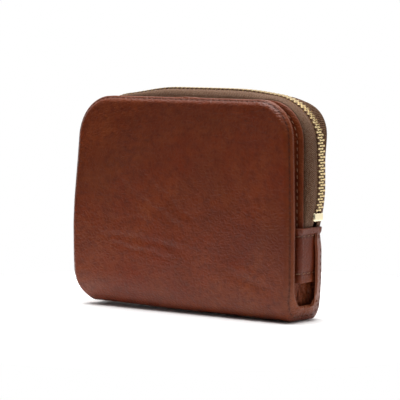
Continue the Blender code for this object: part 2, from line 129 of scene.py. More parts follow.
# Stitches: length and lean as shares of their pitch, and where the rows run
STITCH_LENGTH = 0.80
STITCH_SLANT = 0.10
PANEL_STITCH_INSET = 1.9 * MM
BAND_STITCH_TOP, BAND_STITCH_FOOT = 2.8 * MM, 3.4 * MM
TAB_STITCH_TOP = 2.9 * MM

# Panels and tabs
PANEL_CORNER = 16.0 * MM
PANEL_SPACING = 1.0 * MM
PANEL_MARGIN = 6 * MM
TAB_FACE = 54.2 * MM
TAB_REAR = 6.6 * MM
TAB_WRAP = 4.2 * MM
TAB_CORNER = 1.5 * MM
TAB_PROUD = 0.9 * MM
TAB_THICK = 0.8 * MM
FLOOR_THICK = 0.55 * MM

# The zip: its run goes up the right side, round the corner, along the top and down the left side
ZIP_LIFT = CHAIN_X - PANEL_HIGH.x + 0.3 * MM
ZIP_SIDE = PANEL_HIGH.z - PANEL_CORNER
ZIP_BEND = math.pi / 2 * (PANEL_CORNER + ZIP_LIFT)
ZIP_LEVEL = 2 * (PANEL_HIGH.x - PANEL_CORNER)
TAPE_FOOT = TAB_TOP - 3.0 * MM
TAPE_DEEP = ZIP_LIFT - 0.30 * MM
TAPE_THICK = 0.42 * MM
CORNER_BULGE = 3.0 * MM
CHAIN_BACK = 0.7 * MM
CHAIN_DRAWN_IN = 3.3 * MM
CHAIN_SUNK_LEFT, CHAIN_SUNK_RIGHT = 3.2 * MM, 2.7 * MM
TAPE_STEP, CORD_STEP = 0.8 * MM, 0.7 * MM
TOOTH_BEVEL = 0.15 * MM
CORD_SIDES = 10
CORD_RADIUS = (0.50 * MM, 0.42 * MM)
CLAMP_HALF, WAIST_HALF, HEAD_HALF, TOOTH_HALF = 0.40 * MM, 0.26 * MM, 0.44 * MM, 0.44 * MM
STOP_HALF = (0.80 * MM, 3.2 * MM)


def length_property(name, description, value):
    return bpy.props.FloatProperty(name=name, description=description, default=value * MM,
                                   unit="LENGTH")


def colour_property(name, description, value):
    return bpy.props.FloatVectorProperty(name=name, description=description, default=(*value, 1.0),
                                         subtype="COLOR", size=4, min=0.0, max=1.0)


class WalletSizes(bpy.types.PropertyGroup):
    """Sizes of the leather work and the zip."""

    rim_drop: length_property("Rim drop", "How far the leaf's edge falls from its face", 1.9)
    rim_width: length_property("Rim width", "Width of the slope down to the leaf's edge", 2.3)
    fold_drop: length_property("Fold end drop", "How far the ends of the fold are pinched in", 4.9)
    fold_width: length_property("Fold end width", "Length of the fold's pinched ends", 2.7)
    leather: length_property("Leather thickness", "Thickness of the outer leather", 1.0)
    lining: length_property("Lining thickness", "Thickness of the inner leather", 0.6)
    stitch_inset: length_property("Stitch inset", "Distance from the edge to the stitching", 0.68)
    stitch_pitch: length_property("Stitch pitch", "Length of one stitch with its gap", 2.7)
    thread: length_property("Thread radius", "Radius of the sewing thread", 0.19)
    tooth_pitch: length_property("Tooth pitch", "Distance between teeth of one row", 2.2)
    chain_half: length_property("Half chain width", "Zip's middle to the teeth's ends", 2.35)


class WalletColours(bpy.types.PropertyGroup):
    """Colours of the leather, the tape, the metal and the floor."""

    leather: colour_property("Leather", "Tan-brown of the outer leather", (0.153, 0.0205, 0.0030))
    leather_pale: colour_property("Pale leather", "Rubbed, stretched areas", (0.205, 0.050, 0.014))
    # Dark leather: pores and dark dye clouds, and also the painted shade laid into creases and
    # stitch grooves
    leather_dark: colour_property("Dark leather", "Creases and pores", (0.055, 0.011, 0.004))
    tape: colour_property("Zip tape", "Olive-brown woven tape", (0.168, 0.063, 0.017))
    # Tape shade: painted shade between the tape's threads, not a second yarn colour
    tape_dark: colour_property("Zip tape shade", "Between its threads", (0.060, 0.023, 0.008))
    brass: colour_property("Brass", "Teeth, stops and slider", (0.80, 0.62, 0.33))
    thread: colour_property("Thread", "Sewing thread of the leaves", (0.085, 0.020, 0.006))
    thread_pale: colour_property("Pale thread", "Coin panel and tab thread", (0.33, 0.15, 0.085))
    floor: colour_property("Floor", "Studio floor", (0.90, 0.90, 0.90))


def sizes():
    return bpy.context.scene.wallet_sizes


def colour(name):
    return tuple(getattr(bpy.context.scene.wallet_colours, name))


# Numbers along lines and grids


def ease(value, low, high):
    """0 below low, 1 above high, smooth between."""
    t = np.clip((np.asarray(value, float) - low) / (high - low), 0, 1)
    return t * t * (3 - 2 * t)


def rise(distance, width):
    """0 at the edge, rising evenly to 1 at the width."""
    return np.clip(distance / width, 0, 1)


def fall(distance, width):
    """1 at the edge, falling evenly to 0 at the width."""
    return np.clip(1 - distance / width, 0, 1)


def bell(distance, width):
    """1 at no distance, dying away smoothly over the width."""
    return np.exp(-((distance / width) ** 2))


def unit(vectors):
    return vectors / np.maximum(np.linalg.norm(vectors, axis=-1, keepdims=True), 1e-12)


def run_lengths(steps):
    return np.concatenate(([0.0], np.cumsum(steps)))


def read_off(marks, run, lines):
    """Each of the lines, known along a run, read off at the marks."""
    return np.stack([np.interp(marks, run, line) for line in lines], axis=-1)


def tube_faces(rings, sides):
    """Faces of a tube with closed ends, whose points go round ring by ring."""
    index = np.arange(rings * sides).reshape(rings, sides)
    beside = np.roll(index, -1, axis=1)
    quads = np.stack((index[:-1], beside[:-1], beside[1:], index[1:]), axis=-1).reshape(-1, 4)
    return quads.tolist() + [index[0, ::-1].tolist(), index[-1].tolist()]


# Mesh helpers


def add_object(name, data):
    item = bpy.data.objects.new(name, data)
    bpy.context.scene.collection.objects.link(item)
    return item


def bmesh_object(name, shape, finish, smooth=True, mesh=None):
    """A mesh piece from a bmesh, which is freed."""
    mesh = mesh or bpy.data.meshes.new(name)
    shape.to_mesh(mesh)
    shape.free()
    mesh.materials.append(finish)
    if smooth:
        mesh.shade_smooth()
    return add_object(name, mesh)


def mesh_object(name, points, faces, finish, smooth=True):
    """A mesh piece from arrays of points and faces, with one finish."""
    mesh = bpy.data.meshes.new(name)
    mesh.from_pydata(np.asarray(points, float).tolist(), [], [list(map(int, f)) for f in faces])
    facing = bmesh.new()
    facing.from_mesh(mesh)
    bmesh.ops.recalc_face_normals(facing, faces=facing.faces)
    return bmesh_object(name, facing, material(finish), smooth, mesh)


def grid_faces(rows, columns, offset=0):
    index = np.arange(rows * columns).reshape(rows, columns) + offset
    quads = (index[:-1, :-1], index[:-1, 1:], index[1:, 1:], index[1:, :-1])
    return np.stack(quads, axis=-1).reshape(-1, 4)


def ring_of(rows, columns):
    """Indices of a grid's border, in order."""
    index = np.arange(rows * columns).reshape(rows, columns)
    return np.concatenate((index[0, :-1], index[:-1, -1], index[-1, :0:-1], index[:0:-1, 0]))


def inner_neighbours(rows, columns):
    """For each border point, the index of a point one step inside the grid."""
    row, column = np.divmod(ring_of(rows, columns), columns)
    return np.clip(row, 1, rows - 2) * columns + np.clip(column, 1, columns - 2)


def shell(name, outer, inner, bulge, finish, loops=4, marks=None):
    """A closed sheet between two grids of points, its rim rounded, with marks at each point."""
    rows, columns, _ = outer.shape
    flat_outer, flat_inner = outer.reshape(-1, 3), inner.reshape(-1, 3)
    ring = ring_of(rows, columns)
    inside = inner_neighbours(rows, columns)
    outward = (flat_outer[ring] - flat_outer[inside]) + (flat_inner[ring] - flat_inner[inside])
    middle = (flat_outer[ring] + flat_inner[ring]) / 2
    half = flat_outer[ring] - middle
    along = unit(half)
    outward = unit(outward - along * np.sum(outward * along, axis=1, keepdims=True))
    points = [flat_outer, flat_inner]
    bands = [ring]
    count = rows * columns
    start = 2 * count
    for loop in range(1, loops + 1):
        angle = math.pi * loop / (loops + 1)
        points.append(middle + half * math.cos(angle) + outward * bulge * math.sin(angle))
        bands.append(np.arange(len(ring)) + start)
        start += len(ring)
    bands.append(ring + count)
    faces = [grid_faces(rows, columns), grid_faces(rows, columns, count)[:, ::-1]]
    for near, far in zip(bands[:-1], bands[1:]):
        faces.append(np.stack((near, np.roll(near, -1), np.roll(far, -1), far), axis=-1))
    item = mesh_object(name, np.concatenate(points), np.concatenate(faces), finish)
    for label, grid in (marks or {"rim": 0.0, "seam": 0.0}).items():
        flat = np.broadcast_to(grid, (rows, columns)).reshape(-1)
        give_attribute(item, label, np.concatenate([flat, flat] + [flat[ring]] * loops))
    return item


def give_attribute(item, name, values):
    layer = item.data.attributes.new(name, "FLOAT", "POINT")
    layer.data.foreach_set("value", np.asarray(values, np.float32))


def grid_normals(points, outside=None):
    """Unit normals of a grid of points, turned to the same side as outside where that is given."""
    normal = unit(np.cross(np.gradient(points, axis=0), np.gradient(points, axis=1)))
    return -normal if outside is not None and np.sum(normal * outside) < 0 else normal


def wander(points, size, depth=2, seed=0.0):
    """Smooth noise from -1 to 1 at each point, whose bumps are about size apart."""
    shift = Vector((seed, seed * 1.7, -seed))
    values = [noise.fractal(Vector(p) / size + shift, 0.9, 2.0, depth)
              for p in points.reshape(-1, 3)]
    return np.array(values).reshape(points.shape[:-1])


# Material helpers


class Nodes:
    """Short way to add and join the nodes of a material or a world."""

    def __init__(self, owner, shader="Principled BSDF"):
        owner.use_nodes = True
        self.owner = owner
        self.tree = owner.node_tree
        self.shader = self.tree.nodes[shader]

    def add(self, kind, **settings):
        """Adds a node. Settings that begin with in_ go to the input of that name."""
        node = self.tree.nodes.new(kind)
        for key, value in settings.items():
            if key.startswith("in_"):
                node.inputs[key[3:].replace("_", " ")].default_value = value
            else:
                setattr(node, key, value)
        return node

    def join(self, source, target):
        self.tree.links.new(source, target)

    def feed(self, socket, value):
        if isinstance(value, bpy.types.NodeSocket):
            self.join(value, socket)
        else:
            socket.default_value = value

    def finish(self, **values):
        """Feeds the shader's inputs and hands back the material or the world."""
        for key, value in values.items():
            self.feed(self.shader.inputs[key.replace("_", " ")], value)
        return self.owner

    def through(self, kind, source, entry, out, **settings):
        """Adds a node that turns one value into another."""
        node = self.add(kind, **settings)
        self.join(source, node.inputs[entry])
        return node.outputs[out]

    def math(self, operation, *values):
        node = self.add("ShaderNodeMath", operation=operation)
        for socket, value in zip(node.inputs, values):
            self.feed(socket, value)
        return node.outputs[0]

    def mapped(self, vector, scale, turn=(0, 0, 0)):
        return self.through("ShaderNodeMapping", vector, "Vector", "Vector",
                            in_Scale=scale, in_Rotation=turn)

    def noise(self, vector, scale, detail=4.0, distortion=0.0):
        return self.through("ShaderNodeTexNoise", vector, "Vector", "Fac", in_Scale=scale,
                            in_Detail=detail, in_Roughness=0.55, in_Distortion=distortion)

    def cells(self, vector, scale):
        return self.through("ShaderNodeTexVoronoi", vector, "Vector", "Distance",
                            feature="DISTANCE_TO_EDGE", in_Scale=scale)

    def grey(self, value, low, high, start=0.0, end=1.0):
        """Remaps a value between two levels."""
        return self.through("ShaderNodeMapRange", value, "Value", "Result", in_From_Min=start,
                            in_From_Max=end, in_To_Min=low, in_To_Max=high)

    def mix(self, factor, first, second):
        node = self.add("ShaderNodeMix", data_type="RGBA")
        for name, value in (("Factor", factor), ("A", first), ("B", second)):
            self.feed(node.inputs[name], value)
        return node.outputs["Result"]

    def bump(self, height, strength, distance, normal=None):
        bumped = self.through("ShaderNodeBump", height, "Height", "Normal",
                              in_Strength=strength, in_Distance=distance)
        if normal:
            self.join(normal, bumped.node.inputs["Normal"])
        return bumped

    def place(self):
        return self.add("ShaderNodeTexCoord").outputs["Object"]

    def value(self, attribute):
        return self.add("ShaderNodeAttribute", attribute_name=attribute).outputs["Fac"]


def mixed(first, second, share):
    return tuple(a * (1 - share) + b * share for a, b in zip(first, second))


def leather_material(name, pale_share=0.0, roughness=0.40, coat=0.08, grain=1.0):
    """Drum-dyed leather: fine cells, drawn-out creases, cloudy dye and rubbed edges, with painted
    shade darkening the creases and the stitch grooves.
    """
    pale, dark = colour("leather_pale"), colour("leather_dark")
    base = mixed(colour("leather"), pale, pale_share)
    n = Nodes(bpy.data.materials.new(name))
    place = n.place()
    cloud = n.noise(place, 45.0, 5.0, 0.6)
    fleck = n.noise(place, 420.0, 3.0)
    broad = n.noise(n.mapped(place, (1.0, 1.0, 1.3), (0.0, 0.4, 0.0)), 24.0, 3.0, 1.0)
    shade = n.mix(n.grey(cloud, 0.0, 1.0, 0.36, 0.70), base, mixed(base, pale, 0.55))
    shade = n.mix(n.grey(broad, 0.0, 0.45, 0.46, 0.72), shade, dark)
    shade = n.mix(n.grey(fleck, 0.0, 0.75, 0.42, 0.70), shade, mixed(base, dark, 0.55))
    fine = n.cells(place, 1250.0)
    coarse = n.cells(n.mapped(place, (1.0, 1.0, 1.35), (0.2, 0.35, 0.0)), 520.0)
    drawn = n.noise(n.mapped(place, (150.0, 150.0, 420.0), (0.0, 0.55, 0.0)), 1.0, 6.0, 1.4)
    level = n.noise(n.mapped(place, (110.0, 110.0, 380.0), (0.0, -0.12, 0.0)), 1.0, 5.0, 1.8)
    crease = n.math("MINIMUM", n.grey(drawn, 0.0, 1.0, 0.40, 0.50),
                    n.grey(level, 0.0, 1.0, 0.36, 0.47))
    crease_here = n.grey(n.noise(place, 28.0, 2.0), 0.0, 1.0, 0.42, 0.62)
    crease = n.math("MAXIMUM", crease, n.math("SUBTRACT", 1.0, crease_here))
    # Painted shade: the grain's crease lines are darkened, standing in for the shade that falls in
    # them
    shade = n.mix(n.grey(crease, 0.20, 0.0), shade, dark)
    rubbed = n.math("MULTIPLY", n.value("rim"), n.grey(cloud, 0.35, 0.8, 0.3, 0.7))
    shade = n.mix(rubbed, shade, pale)
    # Painted shade: the leather is darkened by 65% along the stitch groove (the seam mark),
    # standing in for the shade in the groove
    shade = n.mix(n.math("MULTIPLY", n.value("seam"), 0.65), shade, dark)
    rough = n.grey(n.noise(place, 60.0), roughness - 0.07, roughness + 0.10, 0.3, 0.7)
    normal = n.bump(n.grey(fine, 0.0, 1.0, 0.0, 0.35), 0.45 * grain, 0.00007)
    normal = n.bump(n.grey(coarse, 0.0, 1.0, 0.0, 0.30), 0.65 * grain, 0.00016, normal)
    normal = n.bump(crease, 0.42 * grain, 0.00018, normal)
    normal = n.bump(n.noise(place, 95.0, 3.0), 0.45 * grain, 0.0007, normal)
    return n.finish(Base_Color=shade, Roughness=rough, Normal=normal, Coat_Weight=coat,
                    Coat_Roughness=0.24, Specular_IOR_Level=0.22)


def tape_material(name):
    """Herringbone tape: slanted threads whose slant turns over from one column to the next, with
    painted shade between the threads.
    """
    n = Nodes(bpy.data.materials.new(name))
    columns = n.math("DIVIDE", n.value("across"), 1.35)
    column = n.math("FLOOR", columns)
    flip = n.math("SUBTRACT", n.math("MULTIPLY", n.math("PINGPONG", column, 1.0), 2.0), 1.0)
    inside = n.math("SUBTRACT", columns, column)
    slant = n.math("ADD", n.math("DIVIDE", n.value("run"), 0.82),
                   n.math("MULTIPLY", flip, n.math("MULTIPLY", inside, 1.5)))
    wave = n.math("SINE", n.math("MULTIPLY", slant, 2 * math.pi))
    thread = n.math("ADD", n.math("MULTIPLY", wave, 0.5), 0.5)
    fuzz = n.noise(n.place(), 1500.0, 3.0)
    height = n.math("ADD", thread, n.math("MULTIPLY", fuzz, 0.5))
    tape = colour("tape")
    # Painted shade: the tape is darkened between its threads, where shade falls in the weave
    shade = n.mix(n.grey(thread, 0.0, 1.0, 0.1, 0.8), colour("tape_dark"), tape)
    shade = n.mix(n.grey(fuzz, 0.0, 0.5, 0.4, 0.8), shade, mixed(tape, (0.5, 0.4, 0.3, 1.0), 0.4))
    return n.finish(Base_Color=shade, Roughness=n.grey(thread, 0.92, 0.72),
                    Normal=n.bump(height, 0.9, 0.00018), Sheen_Weight=0.05, Sheen_Roughness=0.5)


def metal_material(name, base, roughness):
    """Drawn and tumbled brass with faint scratches and a little tarnish."""
    n = Nodes(bpy.data.materials.new(name))
    place = n.place()
    tarnish = n.grey(n.noise(place, 260.0), 0.0, 0.5, 0.5, 0.8)
    scratch = n.noise(n.mapped(place, (600.0, 5200.0, 900.0)), 1.0, 2.0)
    return n.finish(Base_Color=n.mix(tarnish, base, mixed(base, (0.30, 0.16, 0.05, 1.0), 0.6)),
                    Metallic=1.0,
                    Roughness=n.grey(scratch, roughness - 0.06, roughness + 0.12, 0.3, 0.7),
                    Normal=n.bump(scratch, 0.25, 0.00003))


def thread_material(name, base):
    """Twisted waxed thread."""
    n = Nodes(bpy.data.materials.new(name))
    twist = n.noise(n.mapped(n.place(), (2600.0, 2600.0, 2600.0), (0.6, 0.4, 0.8)), 1.0, 2.0)
    shade = n.mix(n.grey(twist, 0.0, 0.7, 0.35, 0.65), base,
                  mixed(base, (0.02, 0.008, 0.004, 1.0), 0.6))
    return n.finish(Base_Color=shade, Roughness=n.grey(twist, 0.45, 0.70),
                    Normal=n.bump(twist, 0.6, 0.00008), Specular_IOR_Level=0.2)


MAKERS = {
    "outer_leather": lambda name: leather_material(name),
    "inner_leather": lambda name: leather_material(name, 0.05, 0.44),
    "lining_leather": lambda name: leather_material(name, 0.35, 0.50, 0.05, 1.3),
    "tape": tape_material,
    "teeth_brass": lambda name: metal_material(name, colour("brass"), 0.28),
    # Stops, slider and pull: the brass is pushed almost to white, a painted highlight standing in
    # for the bright backdrop these parts reflect
    "stop_brass": lambda name: metal_material(
        name, mixed(colour("brass"), (0.98, 0.88, 0.60, 1.0), 0.85), 0.32),
    "thread": lambda name: thread_material(name, colour("thread")),
    "pale_thread": lambda name: thread_material(name, colour("thread_pale")),
}
MATERIALS = {}


def material(name):
    """Each finish is made once, when a piece first asks for it."""
    if name not in MATERIALS:
        MATERIALS[name] = MAKERS[name](name)
    return MATERIALS[name]


# The leaves


def fold_path(side, steps=400):
    """The closed wallet's outline in YZ, from under the fold to the leaf's top, and its run."""
    depth, flat, rise_up = ((abs(FRONT_Y), FRONT_FOLD_FLAT, FRONT_FOLD_RISE) if side < 0
                            else (BACK_Y, BACK_FOLD_FLAT, BACK_FOLD_RISE))
    angle = np.linspace(0, math.pi / 2, steps)
    y = side * (flat + (depth - flat) * np.sin(angle))
    y = np.concatenate(([FOLD_AXIS.y], y, [y[-1]]))
    z = np.concatenate(([0.0], rise_up * (1 - np.cos(angle)), [LEAF_TOP]))
    return (y, z), run_lengths(np.hypot(np.diff(y), np.diff(z)))


def side_width(z, hand):
    """Half the leaf's width at a height on its right (1) or left (-1) side, but for the corners."""
    places = np.array(RIGHT_SIDE if hand > 0 else LEFT_SIDE) * MM
    fine = np.linspace(0, LEAF_TOP, 200)
    width = np.interp(fine, places[:, 0], places[:, 1])
    kernel = np.hanning(15)
    longer = np.pad(width, 7, mode="edge")
    return np.interp(z, fine, np.convolve(longer, kernel / kernel.sum(), "valid"))


def rounded_half_width(z, half, top, corner):
    """Half width with the top corners rounded off."""
    into = np.clip(z - (top - corner), 0, corner)
    return half - corner + np.sqrt(np.maximum(corner**2 - into**2, 0))


def fine_to_coarse(first, last, total):
    """Distances from an edge inwards whose spacing grows from first to last."""
    found = [0.0]
    step = first
    while found[-1] < total:
        found.append(found[-1] + step)
        step = min(step * 1.2, last)
    return np.array(found)


def leaf_rows(top):
    """Runs up the sheet where it gets a row of points: close together at the top edge."""
    near = fine_to_coarse(0.2 * MM, LEAF_SPACING, 8 * MM)
    count = int((top - near[-1]) / LEAF_SPACING)
    return np.concatenate((np.linspace(0, top - near[-1], count), (top - near)[::-1][1:]))


def row_across(left, right, near, middle_count):
    """Places across a row, fine near both ends and evenly spaced between."""
    left, right = left - near, right - near
    middle = np.linspace(-left[-1], right[-1], middle_count + 1)[1:-1]
    return np.concatenate((-left, middle, right[::-1]))


def edge_distance(x, z, half, top, corner):
    """Distance from a point of an upright sheet to its edge, round the top corners too."""
    over_x = np.abs(x) - (half - corner)
    over_z = z - (top - corner)
    round_part = corner - np.hypot(np.maximum(over_x, 0), np.maximum(over_z, 0))
    plain = corner - np.maximum(over_x, over_z)
    return np.maximum(np.where((over_x > 0) & (over_z > 0), round_part, plain), 0.0)


def sheet_grid(side):
    """One half of the wallet's sheet: places, outward normals and distances to its edge."""
    path, run = fold_path(side)
    runs = leaf_rows(run[-1])
    y, z = (np.interp(runs, run, line) for line in path)
    step = 0.4 * MM
    tangent = read_off(runs + step, run, path) - read_off(runs - step, run, path)
    tangent[0], tangent[-1] = (side, 0.0), (0.0, 1.0)
    tangent = unit(tangent)
    near = fine_to_coarse(EDGE_STEP, LEAF_SPACING, 10 * MM)
    middle_count = 2 * int(round((LEAF_HALF - near[-1]) / LEAF_SPACING))
    wider = 0.0
    if side > 0:
        wider = (BACK_WIDER * ease(y, FOLD_AXIS.y, 9 * MM) * (1 - ease(z, 27 * MM, 37 * MM))
                 - BACK_TUCKED * ease(z, 33 * MM, 38 * MM) * (1 - ease(z, 60 * MM, 72 * MM)))
    plain = {hand: side_width(z, hand) + wider for hand in (1, -1)}
    corner = {1: RIGHT_CORNER, -1: LEFT_CORNER}
    ends = [rounded_half_width(z, plain[hand], LEAF_TOP, corner[hand]) for hand in (-1, 1)]
    x = np.array([row_across(left, right, near, middle_count) for left, right in zip(*ends)])
    z = z[:, None]
    points = np.stack(np.broadcast_arrays(x, y[:, None], z), axis=-1)
    normals = np.zeros_like(points)
    normals[..., 1] = (tangent[:, 1] * side)[:, None]
    normals[..., 2] = (-tangent[:, 0] * side)[:, None]
    distance = np.empty(x.shape)
    for hand in (1, -1):
        lean = np.hypot(1, np.abs(np.gradient(plain[hand], runs)))[:, None]
        to_edge = edge_distance(x, z, plain[hand][:, None], LEAF_TOP, corner[hand])
        leaning = np.where((x * hand > 0) & (z < 40 * MM), to_edge / lean, to_edge)
        distance = np.where((x > 0) == (hand > 0), leaning, distance)
    return points, normals, distance


def fold_share(z, side):
    """1 where the rim turns in deeply round the fold, 0 further up the leaf."""
    return 1 - ease(z, *(FRONT_RIM_RISE if side < 0 else BACK_RIM_RISE))


def seam_inset(z, side):
    """How far in from the edge the stitches run: further round the fold than up the sides."""
    return sizes().stitch_inset + SEAM_FURTHER_IN * fold_share(z, side)


def rim_inset(points, distance, side):
    """How far the outer face falls inwards near the sheet's edge, and how near its seam it is."""
    s = sizes()
    x, y, z = np.moveaxis(points, -1, 0)
    fold = fold_share(z, side)
    left = ease(-x, 0, 20 * MM)
    deeper = 0.0
    if side > 0:
        round_foot = ease(y, 6.5 * MM, 10.5 * MM) * (1 - ease(z, 3.5 * MM, 9 * MM))
        deeper = BACK_RIM_DEEPER * (ease(y, 2 * MM, 9 * MM) + round_foot)
    end_drop = (s.fold_drop + deeper) * (1 - LEFT_RIM_SHALLOWER * left)
    drop = s.rim_drop + (end_drop - s.rim_drop) * fold
    width = s.rim_width + (s.fold_width - s.rim_width) * fold
    slope = fall(distance, width) ** RIM_CURVE
    # The seam mark cuts the stitch groove and also darkens the leather there as painted shade
    seam = bell(distance - seam_inset(z, side), SEAM_WIDE)
    return drop * slope + SEAM_DEEP * seam, seam


def inward(points, normals):
    """The way a rim turns in: towards the heart of the fold low down, straight in above it."""
    aim = -normals.copy()
    low = points[..., 2] < FOLD_HEART
    aim[low] = np.array((0.0, FOLD_AXIS.y, FOLD_HEART)) - points[low] * (0, 1, 1)
    return unit(aim)


def handling_creases(points):
    """Long soft creases that the front leaf has taken from being carried."""
    x, z = points[..., 0], points[..., 2]
    stray = wander(points, 8 * MM, 2, 17.0) * CREASE_STRAY * MM
    total = np.zeros(x.shape)
    for start, end, depth, width in FRONT_CREASES:
        start, end = np.array(start) * MM, np.array(end) * MM
        length = np.linalg.norm(end - start)
        way = (end - start) / length
        along = (x - start[0]) * way[0] + (z - start[1]) * way[1]
        across = (z - start[1]) * way[0] - (x - start[0]) * way[1] + stray
        fade = (ease(along, -4 * MM, 6 * MM)
                * (1 - ease(along, length - 6 * MM, length + 4 * MM)))
        t = across / (width * MM)
        profile = CREASE_SHOULDER * bell(t - SHOULDER_OFFSET, 1) - bell(t, 1)
        total += CREASE_STRENGTH * depth * MM * fade * profile
    return total


def outer_face(side):
    """The outer leather's face: rim, soft padding and slow waves from handling."""
    points, normals, distance = sheet_grid(side)
    inset, seam = rim_inset(points, distance, side)
    x, _, z = np.moveaxis(points, -1, 0)
    middle = rise(distance, 16 * MM)
    under = 1 - ease(z, 1 * MM, 14 * MM)
    waves = (wander(points, 26 * MM, 2, 3.0 + side) * 0.30 * MM
             + wander(points, 9 * MM, 2, 8.0) * 0.06 * MM)
    belly = FACE_CROWN * bell(z - 40 * MM, 26 * MM) * rise(distance, 9 * MM)
    arch = FACE_CROWN * np.cos(np.clip(x / LEAF_HALF, -1, 1) * math.pi / 2)
    arch = arch + 0.3 * MM + 1.0 * MM * ease(-x, 0, 50 * MM)
    lift = (waves * middle + belly) * (1 - under) - arch * under
    if side < 0:
        lift = lift + handling_creases(points) * middle
    face = points + normals * lift[..., None] + inward(points, normals) * inset[..., None]
    return face, normals, distance, inset, seam


def rim_value(distance):
    return fall(distance, 3.0 * MM) ** 1.5


def word(side):
    return "front" if side < 0 else "back"


def outer_leather(side):
    outer, normals, distance, _, seam = outer_face(side)
    inner = outer - normals * sizes().leather
    return shell(f"{word(side)}_leather", outer, inner, 0.45 * MM, "outer_leather",
                 marks={"rim": rim_value(distance), "seam": seam})


def lining_sheet(side):
    """Inner leather: flat up the leaf, loose and creased in the hollow of the fold."""
    inset = outer_face(side)[3]
    points, normals, distance = sheet_grid(side)
    depth = np.maximum(LINING_INSET, inset + sizes().leather + 0.08 * MM)
    fold = 1 - ease(points[..., 2], 4 * MM, 22 * MM)
    crumple = wander(points * np.array((0.55, 1.0, 1.0)), 6 * MM, 3, 21.0 + side)
    depth = depth + fold * rise(distance, 6 * MM) * (0.9 + 1.5 * crumple) * MM
    face = points - normals * depth[..., None]
    back = points - normals * (depth + sizes().lining)[..., None]
    return shell(f"{word(side)}_inner_leather", face, back, 0.25 * MM, "lining_leather",
                 marks={"rim": rim_value(distance), "seam": 0.0})


def fold_end(side, hand):
    """The soft end of the fold, tucked in behind the rim, one half to each leaf."""
    z = np.linspace(FOLD_END_LOW, FOLD_END_HIGH, 30)[:, None]
    round_foot = np.clip(1 - (np.clip(12 * MM - z, 0, None) / (9.4 * MM)) ** 2, 0.02, 1)
    reach = FOLD_END_REACH * np.sqrt(round_foot)
    share = np.linspace(0, 1, 30)
    hollow = np.cos(share * math.pi / 2) ** 0.8 * (0.35 + 0.65 * rise(16 * MM - z, 12 * MM))
    x = hand * (FOLD_END_X - FOLD_END_HOLLOW * hollow)
    y = FOLD_AXIS.y + (side * reach - FOLD_AXIS.y) * share
    outer = np.stack(np.broadcast_arrays(x, y, z), axis=-1)
    stretched = outer * np.array((1.0, 1.4, 0.7))
    outer[..., 0] += hand * 0.9 * MM * wander(stretched, 4.5 * MM, 3, 51.0 + side + 2 * hand)
    inner = outer - np.array((hand * FOLD_END_THICK, 0.0, 0.0))
    name = f"fold_end_{word(side)}_{'right' if hand > 0 else 'left'}"
    return shell(name, outer, inner, 0.2 * MM, "lining_leather")


# Stitches


def stitch_template(rings=7, sides=8):
    """One stitch along +X, a unit long, that dives into the leather at both ends."""
    points = []
    for ring in range(rings):
        t = ring / (rings - 1)
        swell = max(math.sin(math.pi * t), 0.0) ** 0.45
        for turn in range(sides):
            angle = 2 * math.pi * turn / sides
            points.append((t - 0.5, math.cos(angle) * max(swell, 0.12),
                           math.sin(angle) * max(swell, 0.12) - (1 - swell) * 1.3))
    return np.array(points), tube_faces(rings, sides)


def resampled(path, step):
    """Points and tangents spaced evenly along a polyline, and how far along it each is."""
    run = run_lengths(np.linalg.norm(np.diff(path, axis=0), axis=1))
    count = max(int(run[-1] / step), 2)
    marks = (np.arange(count) + 0.5) * run[-1] / count
    place, ahead, behind = (read_off(marks + shift, run, path.T)
                            for shift in (0.0, step * 0.3, -step * 0.3))
    return place, unit(ahead - behind), marks / run[-1]


def stitching(name, runs, finish="thread"):
    """Rows of stitches as one piece, from polylines and the outward normals at their points."""
    template, faces = stitch_template()
    pitch, radius = sizes().stitch_pitch, sizes().thread
    local = template * np.array((pitch * STITCH_LENGTH, radius, radius))
    points = []
    for path, normals in runs:
        path = np.asarray(path, float)
        normals = np.broadcast_to(np.asarray(normals, float), path.shape)
        place, tangent, share = resampled(path, pitch)
        normal = read_off(share, np.linspace(0, 1, len(normals)), normals.T)
        normal = unit(normal - tangent * np.sum(normal * tangent, axis=1, keepdims=True))
        tangent = unit(tangent + np.cross(normal, tangent) * STITCH_SLANT)
        across = np.cross(normal, tangent)
        for p, t, a, n in zip(place, tangent, across, normal):
            points.append(p + local[:, :1] * t + local[:, 1:2] * a + local[:, 2:] * n)
    all_faces = [[k + len(template) * stitch for k in face]
                 for stitch in range(len(points)) for face in faces]
    return mesh_object(name, np.concatenate(points), all_faces, finish)


def seam_on_sheet(side):
    """The line of stitching round one half of the sheet, and its outward normals."""
    outer, _, distance, _, _ = outer_face(side)
    facing = grid_normals(outer, (0.0, side, 0.0))
    rows, columns = distance.shape
    half = columns // 2
    right, left = [], []
    for row in range(rows):
        inset = seam_inset(outer[row, half, 2], side)
        if outer[row, half, 2] > LEAF_TOP - inset:
            break
        for store, order in ((left, np.arange(half)), (right, np.arange(columns - 1, half, -1))):
            values = distance[row, order]
            place = int(np.argmax(values >= inset))
            if place == 0:
                continue
            low, high = order[place - 1], order[place]
            share = (inset - values[place - 1]) / max(values[place] - values[place - 1], 1e-9)
            store.append(np.concatenate([grid[row, low] * (1 - share) + grid[row, high] * share
                                         for grid in (outer, facing)]))
    path = np.array(left + right[::-1])
    return path[:, :3], path[:, 3:]


# Flat panels


def panel_grid(half, foot, top, corner):
    """Grid of an upright panel with round top corners: x, z and distance to its free edges."""
    near = fine_to_coarse(EDGE_STEP, PANEL_SPACING, PANEL_MARGIN)
    count = max(int((top - foot - near[-1]) / PANEL_SPACING), 2)
    z = np.concatenate((np.linspace(foot, top - near[-1], count), (top - near)[::-1][1:]))
    middle_count = 2 * int(round((half - PANEL_MARGIN) / PANEL_SPACING))
    x = np.array([row_across(width, width, near, middle_count)
                  for width in rounded_half_width(z, half, top, corner)])
    z = np.broadcast_to(z[:, None], x.shape)
    return x, z, edge_distance(x, z, half, top, corner)


